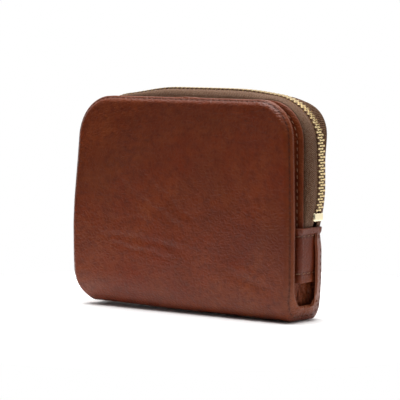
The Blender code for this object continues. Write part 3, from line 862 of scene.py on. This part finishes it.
def panel(name, node, corner, finish, wave=0.12, groove=None, roll=0.0, seed=0.0):
    """A leather panel the size of a node, with rolled edges and perhaps a stitch groove."""
    low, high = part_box(node)
    x, z, distance = panel_grid(high.x, low.z, high.z, corner)
    front = np.stack((x, np.full_like(x, low.y), z), axis=-1)
    wavy = wander(front, 18 * MM, 2, seed) * wave * MM * rise(distance, 8 * MM)
    front[..., 1] += wavy + roll * fall(distance, 2.2 * MM) ** 2
    # The seam mark presses the stitch groove in and also darkens the leather there as painted shade
    seam = bell(distance - groove, 0.4 * MM) if groove else np.zeros_like(x)
    front[..., 1] += 0.2 * MM * seam
    back = np.stack((x, high.y + wavy, z), axis=-1)
    return shell(name, front, back, min((high.y - low.y) * 0.42, 0.5 * MM), finish,
                 marks={"rim": rim_value(distance), "seam": seam})


def panel_seam(foot, inset, y):
    """Polyline of stitching round the coin panel's three free edges."""
    half, top, corner = PANEL_HIGH.x - inset, PANEL_HIGH.z - inset, PANEL_CORNER - inset
    right = [(half, y, foot)]
    for angle in np.linspace(0, math.pi / 2, 24):
        right.append((half - corner + corner * math.cos(angle), y,
                      top - corner + corner * math.sin(angle)))
    return np.array(right + [(-px, py, pz) for px, py, pz in reversed(right)])


# Zip


def zip_spine(runs, lift):
    """Places on the zip's line in XZ and its normals, for runs along it."""
    runs = np.asarray(runs, float)
    angle = rise(runs - ZIP_SIDE, ZIP_BEND) * math.pi / 2
    angle = angle + rise(runs - ZIP_SIDE - ZIP_BEND - ZIP_LEVEL, ZIP_BEND) * math.pi / 2
    along = np.clip(runs - ZIP_SIDE - ZIP_BEND, 0, ZIP_LEVEL)
    up = np.minimum(runs, ZIP_SIDE) - np.maximum(runs - ZIP_SIDE - 2 * ZIP_BEND - ZIP_LEVEL, 0)
    normal = np.stack((np.cos(angle), np.sin(angle)), axis=-1)
    x = PANEL_HIGH.x - PANEL_CORNER - along + normal[:, 0] * (PANEL_CORNER + lift)
    z = up + normal[:, 1] * (PANEL_CORNER + lift)
    return np.stack((x, z), axis=-1), normal


def zip_run_left(height):
    """The run at which the zip comes down to a height on the left side."""
    return 2 * ZIP_SIDE + 2 * ZIP_BEND + ZIP_LEVEL - height


def corner_share(runs):
    """1 on the two top corners, where the back leaf's leather pushes the tape out."""
    right = bell(runs - ZIP_SIDE - ZIP_BEND * 0.34, ZIP_BEND * 0.36)
    return right + bell(runs - ZIP_SIDE - ZIP_BEND * 1.58 - ZIP_LEVEL, ZIP_BEND * 0.42)


def settle(runs):
    """The chain draws in at its lower right end and sinks at both top corners."""
    runs = np.asarray(runs, float)
    drawn_in = rise(57 * MM - runs, 20 * MM)
    corner = ZIP_SIDE + ZIP_BEND + ZIP_LEVEL
    sink = (ease(runs, corner - 24 * MM, corner + 6 * MM)
            * (1 - ease(runs, corner + 10 * MM, corner + 30 * MM)))
    dip = bell(runs - ZIP_SIDE - ZIP_BEND * 0.72, ZIP_BEND * 0.55)
    return -CHAIN_DRAWN_IN * drawn_in**2.4 - CHAIN_SUNK_LEFT * sink - CHAIN_SUNK_RIGHT * dip


def chain_y(runs):
    """The chain sits further back on the right than over the slider on the left."""
    over = ease(runs, ZIP_SIDE + ZIP_BEND * 0.6, ZIP_SIDE + ZIP_BEND + ZIP_LEVEL)
    return CHAIN_Y + CHAIN_BACK * (1 - over)


def tape_sections():
    """Cross-sections of the two tapes as (lift, y), from the leather to the teeth."""
    front_y = PANEL_HIGH.y + 0.5 * MM
    back_y = BACK_Y - LINING_DEEP - 0.75 * MM
    reach = sizes().chain_half - 0.45 * MM
    low = TAPE_DEEP
    front = [(-2.2 * MM, front_y - 0.2 * MM), (0.3 * MM, front_y),
             (low * 0.60, front_y + 0.35 * MM), (low * 0.90, front_y + 1.3 * MM),
             (low * 1.0, CHAIN_Y - reach - 1.0 * MM), (low * 1.02, CHAIN_Y - reach + 0.6 * MM)]
    back = [(-2.2 * MM, back_y), (0.4 * MM, back_y + 0.15 * MM),
            (low * 0.55, back_y + 0.75 * MM), (low * 0.90, back_y + 0.6 * MM),
            (low * 1.0, back_y - 0.3 * MM), (low * 1.02, CHAIN_Y + reach - 0.6 * MM)]
    return front, back


def smooth_section(section, count=30):
    """A cross-section's corners turned into a smooth line of evenly spaced points."""
    points = np.array(section)
    for _ in range(3):
        pairs = np.stack([points[:-1] * (1 - share) + points[1:] * share
                          for share in (0.25, 0.75)], axis=1)
        points = np.concatenate(([points[0]], pairs.reshape(-1, 2), [points[-1]]))
    run = run_lengths(np.hypot(*np.diff(points, axis=0).T))
    marks = np.linspace(0, run[-1], count)
    return read_off(marks, run, points.T), marks


def zip_tape(name, section, side):
    section, across = smooth_section(section)
    runs = np.arange(TAPE_FOOT, zip_run_left(TAPE_FOOT), TAPE_STEP)
    outer = np.empty((len(runs), len(section), 3))
    half = sizes().chain_half
    for column, (lift, y) in enumerate(section):
        share = rise(lift, ZIP_LIFT)
        beyond = ease(y - CHAIN_Y, half - 0.3 * MM, half + 0.9 * MM)
        bulge = (CORNER_BULGE * corner_share(runs) if side > 0 else 0.0) * beyond * share
        spot, _ = zip_spine(runs, lift + settle(runs) * share + bulge)
        outer[:, column, ::2] = spot
        outer[:, column, 1] = y + (chain_y(runs) - CHAIN_Y) * ease(share, 0.2, 0.95)
    normals = grid_normals(outer, outer - np.array((0.0, 0.0, PANEL_HIGH.z * 0.5)))
    loose = np.sin(np.linspace(0, math.pi, len(section))) ** 2
    soft = wander(outer, 11 * MM, 2, 60.0 + side) * 0.25 * MM * loose
    outer = outer + normals * soft[..., None]
    return shell(name, outer, outer - normals * TAPE_THICK, 0.1 * MM, "tape", loops=1,
                 marks={"run": runs[:, None] / MM, "across": across / MM + 10})


def tooth_template():
    """One tooth as (along, across, outward): a clamp on the cord, a waist and a rounded head."""
    reach = sizes().chain_half
    outline = [(CLAMP_HALF * 0.8, -reach), (CLAMP_HALF, -reach + 0.25 * MM),
               (CLAMP_HALF, -reach + 1.05 * MM), (WAIST_HALF, -reach + 1.40 * MM),
               (WAIST_HALF, 0.0), (HEAD_HALF, 0.30 * MM), (HEAD_HALF, 0.85 * MM),
               (HEAD_HALF * 0.6, 1.10 * MM)]
    outline = outline + [(-a, b) for a, b in reversed(outline)]
    shape = bmesh.new()
    face = shape.faces.new([shape.verts.new((a, b, TOOTH_HALF)) for a, b in outline])
    made = bmesh.ops.extrude_face_region(shape, geom=[face])
    moved = [v for v in made["geom"] if isinstance(v, bmesh.types.BMVert)]
    bmesh.ops.translate(shape, vec=(0, 0, -2 * TOOTH_HALF), verts=moved)
    bmesh.ops.recalc_face_normals(shape, faces=shape.faces)
    edges = [e for e in shape.edges if abs(e.verts[0].co.z - e.verts[1].co.z) < 1e-7]
    bmesh.ops.bevel(shape, geom=edges, offset=TOOTH_BEVEL, segments=2, affect="EDGES",
                    profile=0.6)
    shape.verts.ensure_lookup_table()
    points = np.array([v.co for v in shape.verts])
    faces = [[v.index for v in f.verts] for f in shape.faces]
    shape.free()
    return points, faces


def teeth_row(name, side, shift):
    """One row of teeth of the zip."""
    template, faces = tooth_template()
    end = zip_run_left(SLIDER_FOOT + 5.0 * MM)
    runs = np.arange(TEETH_FOOT + shift + 0.4 * MM, end, sizes().tooth_pitch)
    spot, normal = zip_spine(runs, ZIP_LIFT + settle(runs))
    points, all_faces = [], []
    for index, (place, up, y) in enumerate(zip(spot, normal, chain_y(runs))):
        axes = np.array(((-up[1], 0.0, up[0]), (0.0, -side, 0.0), (up[0], 0.0, up[1])))
        centre = np.array((place[0], y, place[1]))
        points.append(centre + sum(template[:, k:k + 1] * axes[k] for k in range(3)))
        all_faces += [[k + index * len(template) for k in face] for face in faces]
    return mesh_object(name, np.concatenate(points), all_faces, "teeth_brass", smooth=False)


def zip_cord(name, side):
    """The corded edge of a tape that the teeth are clamped on."""
    runs = np.arange(TEETH_FOOT - 4 * MM, zip_run_left(SLIDER_FOOT - 2 * MM), CORD_STEP)
    spot, normal = zip_spine(runs, ZIP_LIFT + settle(runs))
    middle = chain_y(runs) + side * (sizes().chain_half - 0.85 * MM)
    points = np.empty((len(runs), CORD_SIDES, 3))
    for turn in range(CORD_SIDES):
        angle = 2 * math.pi * turn / CORD_SIDES
        points[:, turn, ::2] = spot + normal * CORD_RADIUS[1] * math.sin(angle)
        points[:, turn, 1] = middle + CORD_RADIUS[0] * math.cos(angle)
    item = mesh_object(name, points.reshape(-1, 3), tube_faces(len(runs), CORD_SIDES), "tape")
    give_attribute(item, "run", np.repeat(runs / MM, CORD_SIDES))
    give_attribute(item, "across", np.tile(np.arange(CORD_SIDES) * 0.3 + 20, len(runs)))
    return item


def stop(name, low, high, radius):
    """A pressed metal stop: a block with generously rounded edges."""
    shape = bmesh.new()
    bmesh.ops.create_cube(shape, size=1.0)
    bmesh.ops.scale(shape, vec=high - low, verts=shape.verts)
    bmesh.ops.translate(shape, vec=(low + high) / 2, verts=shape.verts)
    bmesh.ops.bevel(shape, geom=list(shape.edges), offset=radius, segments=4, affect="EDGES",
                    profile=0.5)
    return bmesh_object(name, shape, material("stop_brass"))


def gusset_tab(name, node, side):
    """A leather tab bent round the side of the compartment, with a turned top edge."""
    low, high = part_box(node)
    z = np.linspace(low.z, high.z, 60)[:, None]
    front_y = low.y - TAB_PROUD
    line = [(TAB_FACE - TAB_CORNER - TAB_WRAP * (1 - t), front_y) for t in np.linspace(0, 1, 8)]
    line += [(TAB_FACE - TAB_CORNER + TAB_CORNER * math.sin(angle),
              front_y + TAB_CORNER * (1 - math.cos(angle)))
             for angle in np.linspace(0, math.pi / 2, 12)[1:]]
    x, y = np.array(line).T
    reach = TAB_REAR + 2.6 * MM * ease(z, high.z - 6 * MM, high.z - 3 * MM)
    share = np.linspace(0, 1, 25)[1:]
    x = np.concatenate((x, np.full(len(share), TAB_FACE)))
    y = np.hstack((np.repeat(y[None], len(z), axis=0), y[-1] + (reach - y[-1]) * share))
    outer = np.stack(np.broadcast_arrays(x, y, z), axis=-1)
    seams = np.minimum(np.abs(z - (high.z - TAB_STITCH_TOP)),
                       np.abs(z - (low.z + BAND_STITCH_FOOT)))
    edge = np.minimum(z - low.z, high.z - z)
    dome = 0.45 * MM * np.sin(rise(z - low.z, high.z - low.z) * math.pi)
    swell = 0.35 * MM * bell(edge, 1.2 * MM) - 0.25 * MM * bell(seams, 0.8 * MM)
    top = ease(z, high.z - 3.2 * MM, high.z - 1.5 * MM)
    facing = grid_normals(outer, (1.0, 0.0, 0.0))
    lift = swell + dome + 0.55 * MM * top + wander(outer, 7 * MM, 2, 40 + side) * 0.16 * MM
    outer = outer + facing * lift[..., None]
    inner = outer - facing * TAB_THICK
    for grid in (outer, inner):
        grid[..., 0] *= side
    # The seam mark darkens the tab along its stitch rows as painted shade
    return shell(name, outer, inner, 0.3 * MM, "inner_leather",
                 marks={"rim": 0.6 * np.exp(-edge / (1.2 * MM)), "seam": bell(seams, 0.4 * MM)})


def tab_seams(node, side):
    """The tab's two rows of stitches, from its front to the back leaf."""
    low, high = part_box(node)
    x = TAB_FACE + 0.18 * MM
    inwards = np.array((2.6, 0.9, 0.2, 0.0, 0.0)) * MM
    ahead = np.array((-1.1, -0.9, -0.2, 0.8)) * MM
    facing = ((0, -1, 0), (side * 0.3, -1, 0), (side, -0.6, 0), (side, 0, 0), (side, 0, 0))
    rows = []
    for z, rear in ((high.z - TAB_STITCH_TOP, TAB_REAR + 2.2 * MM),
                    (low.z + BAND_STITCH_FOOT, TAB_REAR - 0.4 * MM)):
        depths = (*(low.y + ahead), rear)
        rows.append(([(side * (x - into), y, z) for into, y in zip(inwards, depths)], facing))
    return rows


def compartment_floor():
    low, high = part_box("coin_floor")
    across = np.linspace(low.x, high.x, 90)[:, None]
    floor = np.stack(np.broadcast_arrays(across, np.linspace(low.y, high.y, 16), high.z), axis=-1)
    floor[..., 2] += wander(floor, 8 * MM, 2, 50.0) * 0.25 * MM
    return shell("compartment_floor", floor, floor - np.array((0.0, 0.0, FLOOR_THICK)), 0.1 * MM,
                 "lining_leather")


# The nodes each piece stands in for and the body it moves with


def declare(item, slot, body, *nodes):
    """Hides the nodes a piece replaces and hangs it on the body it rides on. The slot is not used.
    """
    if nodes:
        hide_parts(*nodes)
    if body:
        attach(item, body)


def bend(item, side):
    """Bakes the piece's transform into its mesh, the same for the front half and the back half."""
    if side < 0:
        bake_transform(item)
    else:
        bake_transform(item)


# Operators


class WALLET_OT_outer_leather(bpy.types.Operator):
    """Outer leather of both leaves, running on under the fold"""

    bl_idname = "wallet.outer_leather"
    bl_label = "Outer Leather"

    def execute(self, context):
        for side in (-1, 1):
            item = outer_leather(side)
            declare(item, "cover_leather", None, f"{word(side)}_cover")
            bend(item, side)
            seam = stitching(f"{word(side)}_seam", [seam_on_sheet(side)])
            declare(seam, "thread", None, f"{word(side)}_cover_thread")
            bend(seam, side)
        return {"FINISHED"}


class WALLET_OT_inner_leather(bpy.types.Operator):
    """Inner leather of both leaves and the hollow of the fold"""

    bl_idname = "wallet.inner_leather"
    bl_label = "Inner Leather"

    def execute(self, context):
        for side in (-1, 1):
            name = word(side)
            item = lining_sheet(side)
            nodes = [f"{name}_{layer}" for layer in ("lining", "fold_lining", "padding")]
            declare(item, "lining", None, *nodes)
            bend(item, side)
            for hand in (1, -1):
                declare(fold_end(side, hand), "lining", f"{name}_leaf")
        return {"FINISHED"}


class WALLET_OT_card_pockets(bpy.types.Operator):
    """Stepped card slots inside the front leaf"""

    bl_idname = "wallet.card_pockets"
    bl_label = "Card Pockets"

    def execute(self, context):
        for index in (1, 2, 3):
            node = f"card_pocket_{index}"
            item = panel(f"card_slot_{index}", node, 2.0 * MM, "inner_leather", wave=0.06,
                         seed=30.0 + index)
            declare(item, "inner_leather", "front_leaf", node)
        low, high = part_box("card_pocket_3")
        inset = 1.6 * MM
        corners = [(x, high.y, z) for x, z in (
            (-high.x + inset, high.z), (-high.x + inset, low.z + inset),
            (high.x - inset, low.z + inset), (high.x - inset, high.z))]
        declare(stitching("card_slot_seam", [(corners, (0, 1, 0))], "pale_thread"),
                "thread", "front_leaf")
        return {"FINISHED"}


class WALLET_OT_coin_panel(bpy.types.Operator):
    """Leather front panel of the coin compartment, its lining and its band"""

    bl_idname = "wallet.coin_panel"
    bl_label = "Coin Panel"

    def execute(self, context):
        item = panel("coin_front_leather", "coin_panel", PANEL_CORNER, "inner_leather",
                     groove=PANEL_STITCH_INSET, roll=0.5 * MM, seed=5.0)
        declare(item, "inner_leather", "coin_front", "coin_panel")
        path = panel_seam(TAB_TOP, PANEL_STITCH_INSET, PANEL_LOW.y + 0.12 * MM)
        declare(stitching("coin_front_seam", [(path, (0, -1, 0))], "pale_thread"),
                "thread", "coin_front", "coin_panel_thread")
        lining = panel("coin_front_lining", "coin_panel_lining", PANEL_CORNER - 3 * MM,
                       "lining_leather", seed=12.0)
        declare(lining, "lining", "coin_front", "coin_panel_lining")
        band = panel("coin_front_band", "gusset_band", 1.0 * MM, "inner_leather", wave=0.08,
                     groove=2.6 * MM, seed=17.0)
        declare(band, "inner_leather", "coin_front", "gusset_band")
        low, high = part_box("gusset_band")
        rows = [([(-high.x + 1.5 * MM, low.y, z), (high.x - 1.5 * MM, low.y, z)], (0, -1, 0))
                for z in (high.z - BAND_STITCH_TOP, low.z + BAND_STITCH_FOOT)]
        declare(stitching("coin_band_seam", rows, "pale_thread"), "thread", "coin_front")
        return {"FINISHED"}


class WALLET_OT_gussets(bpy.types.Operator):
    """Leather tabs below the zip's ends and the compartment's floor"""

    bl_idname = "wallet.gussets"
    bl_label = "Gussets"

    def execute(self, context):
        for side, hand in ((1, "right"), (-1, "left")):
            node = f"gusset_tab_{hand}"
            item = gusset_tab(f"side_tab_{hand}", node, side)
            declare(item, "inner_leather", None, node)
            seam = stitching(f"side_tab_seam_{hand}", tab_seams(node, side), "pale_thread")
            declare(seam, "thread", None)
            for piece in (item, seam):
                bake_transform(piece)
        item = compartment_floor()
        declare(item, "lining", None, "coin_floor")
        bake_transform(item)
        return {"FINISHED"}


class WALLET_OT_zip_tapes(bpy.types.Operator):
    """Woven tapes of the zip and their cords"""

    bl_idname = "wallet.zip_tapes"
    bl_label = "Zip Tapes"

    def execute(self, context):
        for section, side, body in zip(tape_sections(), (-1, 1), ("coin_front", "back_leaf")):
            tape = zip_tape(f"{word(side)}_tape", section, side)
            declare(tape, "tape", body, f"zip_tape_{word(side)}")
            declare(zip_cord(f"{word(side)}_tape_cord", side), "tape", body)
        return {"FINISHED"}


class WALLET_OT_zip_metal(bpy.types.Operator):
    """Teeth and end stops of the zip"""

    bl_idname = "wallet.zip_metal"
    bl_label = "Zip Teeth and Stops"

    def execute(self, context):
        half_pitch = sizes().tooth_pitch / 2
        for side, shift, body in ((-1, 0.0, "coin_front"), (1, half_pitch, "back_leaf")):
            name = word(side)
            teeth = teeth_row(f"{name}_teeth", side, shift)
            declare(teeth, "brass", body, f"zip_teeth_{name}")
            node = f"zip_top_stop_{name}"
            declare(stop(f"{name}_top_stop", *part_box(node), 0.5 * MM), "brass", body, node)
        spot, _ = zip_spine([STOP_LOW.z], ZIP_LIFT + settle([STOP_LOW.z]))
        middle = Vector((spot[0, 0] + 0.35 * MM, chain_y(STOP_LOW.z),
                         (STOP_LOW.z + STOP_HIGH.z) / 2 - 0.6 * MM))
        half = Vector((*STOP_HALF, (STOP_HIGH.z - STOP_LOW.z) / 2 + 0.25 * MM))
        declare(stop("bottom_stop", middle - half, middle + half, 0.76 * MM),
                "brass", "back_leaf", "zip_bottom_stop")
        return {"FINISHED"}


class WALLET_OT_slider(bpy.types.Operator):
    """Slider, bail and pull"""

    bl_idname = "wallet.slider"
    bl_label = "Slider and Pull"

    def execute(self, context):
        for node in ("slider_body", "slider_bail", "puller"):
            item = frame["nodes"][node]
            item.data.materials.clear()
            item.data.materials.append(material("stop_brass"))
        return {"FINISHED"}


class WALLET_OT_stage(bpy.types.Operator):
    """Studio floor, lights and camera"""

    bl_idname = "wallet.stage"
    bl_label = "Stage"

    def execute(self, context):
        add_floor()
        add_world()
        add_lights()
        add_camera()
        return {"FINISHED"}


# The stage

WHITE = (1.0, 1.0, 1.0, 1.0)
FLOOR_RADIUS = 0.15
FLOOR_DROP = 0.05 * MM
# Axis, where the brightening starts and ends, and the strengths there
ROOM_BEHIND = ("Y", -0.05, 0.6, 0.03, 1.0)
ROOM_ABOVE = ("Z", 0.2, 1.0, 0.0, 0.3)
OVERHEAD_POWER = 4.6
OVERHEAD_SPREAD = 50.0
OVERHEAD_WAY = (0.12, 0.10, -1.0)
# Name, place, width, height and power
SOFTBOXES = (("left_softbox", (-0.62, -0.50, 0.22), 0.22, 0.22, 0.25),
             ("right_softbox", (0.70, -0.15, 0.35), 0.30, 0.5, 0.4))
MIDDLE = (0.0, 0.0, 0.045)
CAMERA_AZIMUTH = 37.29
CAMERA_HEIGHT = 4.76
CAMERA_DISTANCE = 0.8949
CAMERA_LENS = 198.0
CAMERA_SENSOR = 36.0
CAMERA_NEAR = 0.01
CAMERA_ASIDE = 1.30 * MM
CAMERA_ABOVE = 0.54 * MM


def add_floor():
    """A round pale table top under the wallet."""
    n = Nodes(bpy.data.materials.new("studio_floor"))
    paper = n.grey(n.noise(n.place(), 6.0), 0.0, 1.0, 0.4, 0.6)
    pale = mixed(colour("floor"), WHITE, 0.2)
    shape = bmesh.new()
    bmesh.ops.create_circle(shape, cap_ends=True, segments=96, radius=FLOOR_RADIUS)
    bmesh.ops.translate(shape, vec=(0.0, 0.0, -FLOOR_DROP), verts=shape.verts)
    finish = n.finish(Base_Color=n.mix(paper, colour("floor"), pale), Roughness=0.6)
    bmesh_object("studio_floor", shape, finish, smooth=False)


def add_world():
    """A dim studio, brighter behind and overhead, with a white sweep seen only directly."""
    n = Nodes(bpy.data.worlds.new("studio"), "Background")
    split = n.add("ShaderNodeSeparateXYZ")
    n.join(n.add("ShaderNodeTexCoord").outputs["Generated"], split.inputs[0])
    levels = [n.through("ShaderNodeMapRange", split.outputs[axis], "Value", "Result",
                        interpolation_type="SMOOTHSTEP", in_From_Min=start, in_From_Max=end,
                        in_To_Min=low, in_To_Max=high)
              for axis, start, end, low, high in (ROOM_BEHIND, ROOM_ABOVE)]
    bpy.context.scene.world = n.finish(Color=WHITE, Strength=n.math("ADD", *levels))
    choose = n.add("ShaderNodeMixShader")
    sources = (n.add("ShaderNodeLightPath").outputs["Is Camera Ray"], n.shader.outputs[0],
               n.add("ShaderNodeBackground", in_Color=WHITE).outputs[0])
    for source, entry in zip(sources, choose.inputs):
        n.join(source, entry)
    n.join(choose.outputs[0], n.tree.nodes["World Output"].inputs["Surface"])


def add_lamp(name, kind, power, way):
    """A lamp that shines along a way."""
    data = bpy.data.lights.new(name, kind)
    data.energy = power
    lamp = add_object(name, data)
    lamp.rotation_euler = Vector(way).to_track_quat("-Z", "Y").to_euler()
    return lamp


def add_lights():
    overhead = add_lamp("overhead_cloth", "SUN", OVERHEAD_POWER, OVERHEAD_WAY)
    overhead.data.angle = math.radians(OVERHEAD_SPREAD)
    for name, place, width, height, power in SOFTBOXES:
        lamp = add_lamp(name, "AREA", power, Vector(MIDDLE) - Vector(place))
        lamp.location = place
        lamp.data.shape = "RECTANGLE"
        lamp.data.size, lamp.data.size_y = width, height


def add_camera():
    turn, height = math.radians(CAMERA_AZIMUTH), math.radians(CAMERA_HEIGHT)
    away = Vector((math.sin(turn) * math.cos(height), -math.cos(turn) * math.cos(height),
                   math.sin(height)))
    right = Vector((math.cos(turn), math.sin(turn), 0.0))
    up = away.cross(right)
    data = bpy.data.cameras.new("studio_camera")
    data.lens = CAMERA_LENS
    data.sensor_width = CAMERA_SENSOR
    data.clip_start = CAMERA_NEAR
    camera = add_object("studio_camera", data)
    camera.matrix_world = Matrix((right, up, away)).transposed().to_4x4()
    target = Vector(MIDDLE) + right * CAMERA_ASIDE + up * CAMERA_ABOVE
    camera.location = target + away * CAMERA_DISTANCE
    bpy.context.scene.camera = camera


OPERATORS = (
    WALLET_OT_outer_leather, WALLET_OT_inner_leather, WALLET_OT_card_pockets, WALLET_OT_coin_panel,
    WALLET_OT_gussets, WALLET_OT_zip_tapes, WALLET_OT_zip_metal, WALLET_OT_slider, WALLET_OT_stage)


class WALLET_PT_parts(bpy.types.Panel):
    """Lists the wallet's parts in the sidebar"""

    bl_idname = "WALLET_PT_parts"
    bl_label = "Folding Zip Wallet"
    bl_space_type = "VIEW_3D"
    bl_region_type = "UI"
    bl_category = "Wallet"

    def draw(self, context):
        for operator in OPERATORS:
            self.layout.operator(operator.bl_idname)


CLASSES = (WalletSizes, WalletColours, *OPERATORS, WALLET_PT_parts)


def register():
    for item in CLASSES:
        bpy.utils.register_class(item)
    bpy.types.Scene.wallet_sizes = bpy.props.PointerProperty(type=WalletSizes)
    bpy.types.Scene.wallet_colours = bpy.props.PointerProperty(type=WalletColours)


def unregister():
    del bpy.types.Scene.wallet_sizes
    del bpy.types.Scene.wallet_colours
    for item in reversed(CLASSES):
        bpy.utils.unregister_class(item)


def main():
    """Registers the add-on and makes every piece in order."""
    register()
    bpy.context.scene.view_settings.view_transform = "Standard"
    bpy.ops.wallet.outer_leather()
    bpy.ops.wallet.inner_leather()
    bpy.ops.wallet.card_pockets()
    bpy.ops.wallet.coin_panel()
    bpy.ops.wallet.gussets()
    bpy.ops.wallet.zip_tapes()
    bpy.ops.wallet.zip_metal()
    bpy.ops.wallet.slider()
    bpy.ops.wallet.stage()


if __name__ == "__main__":
    main()
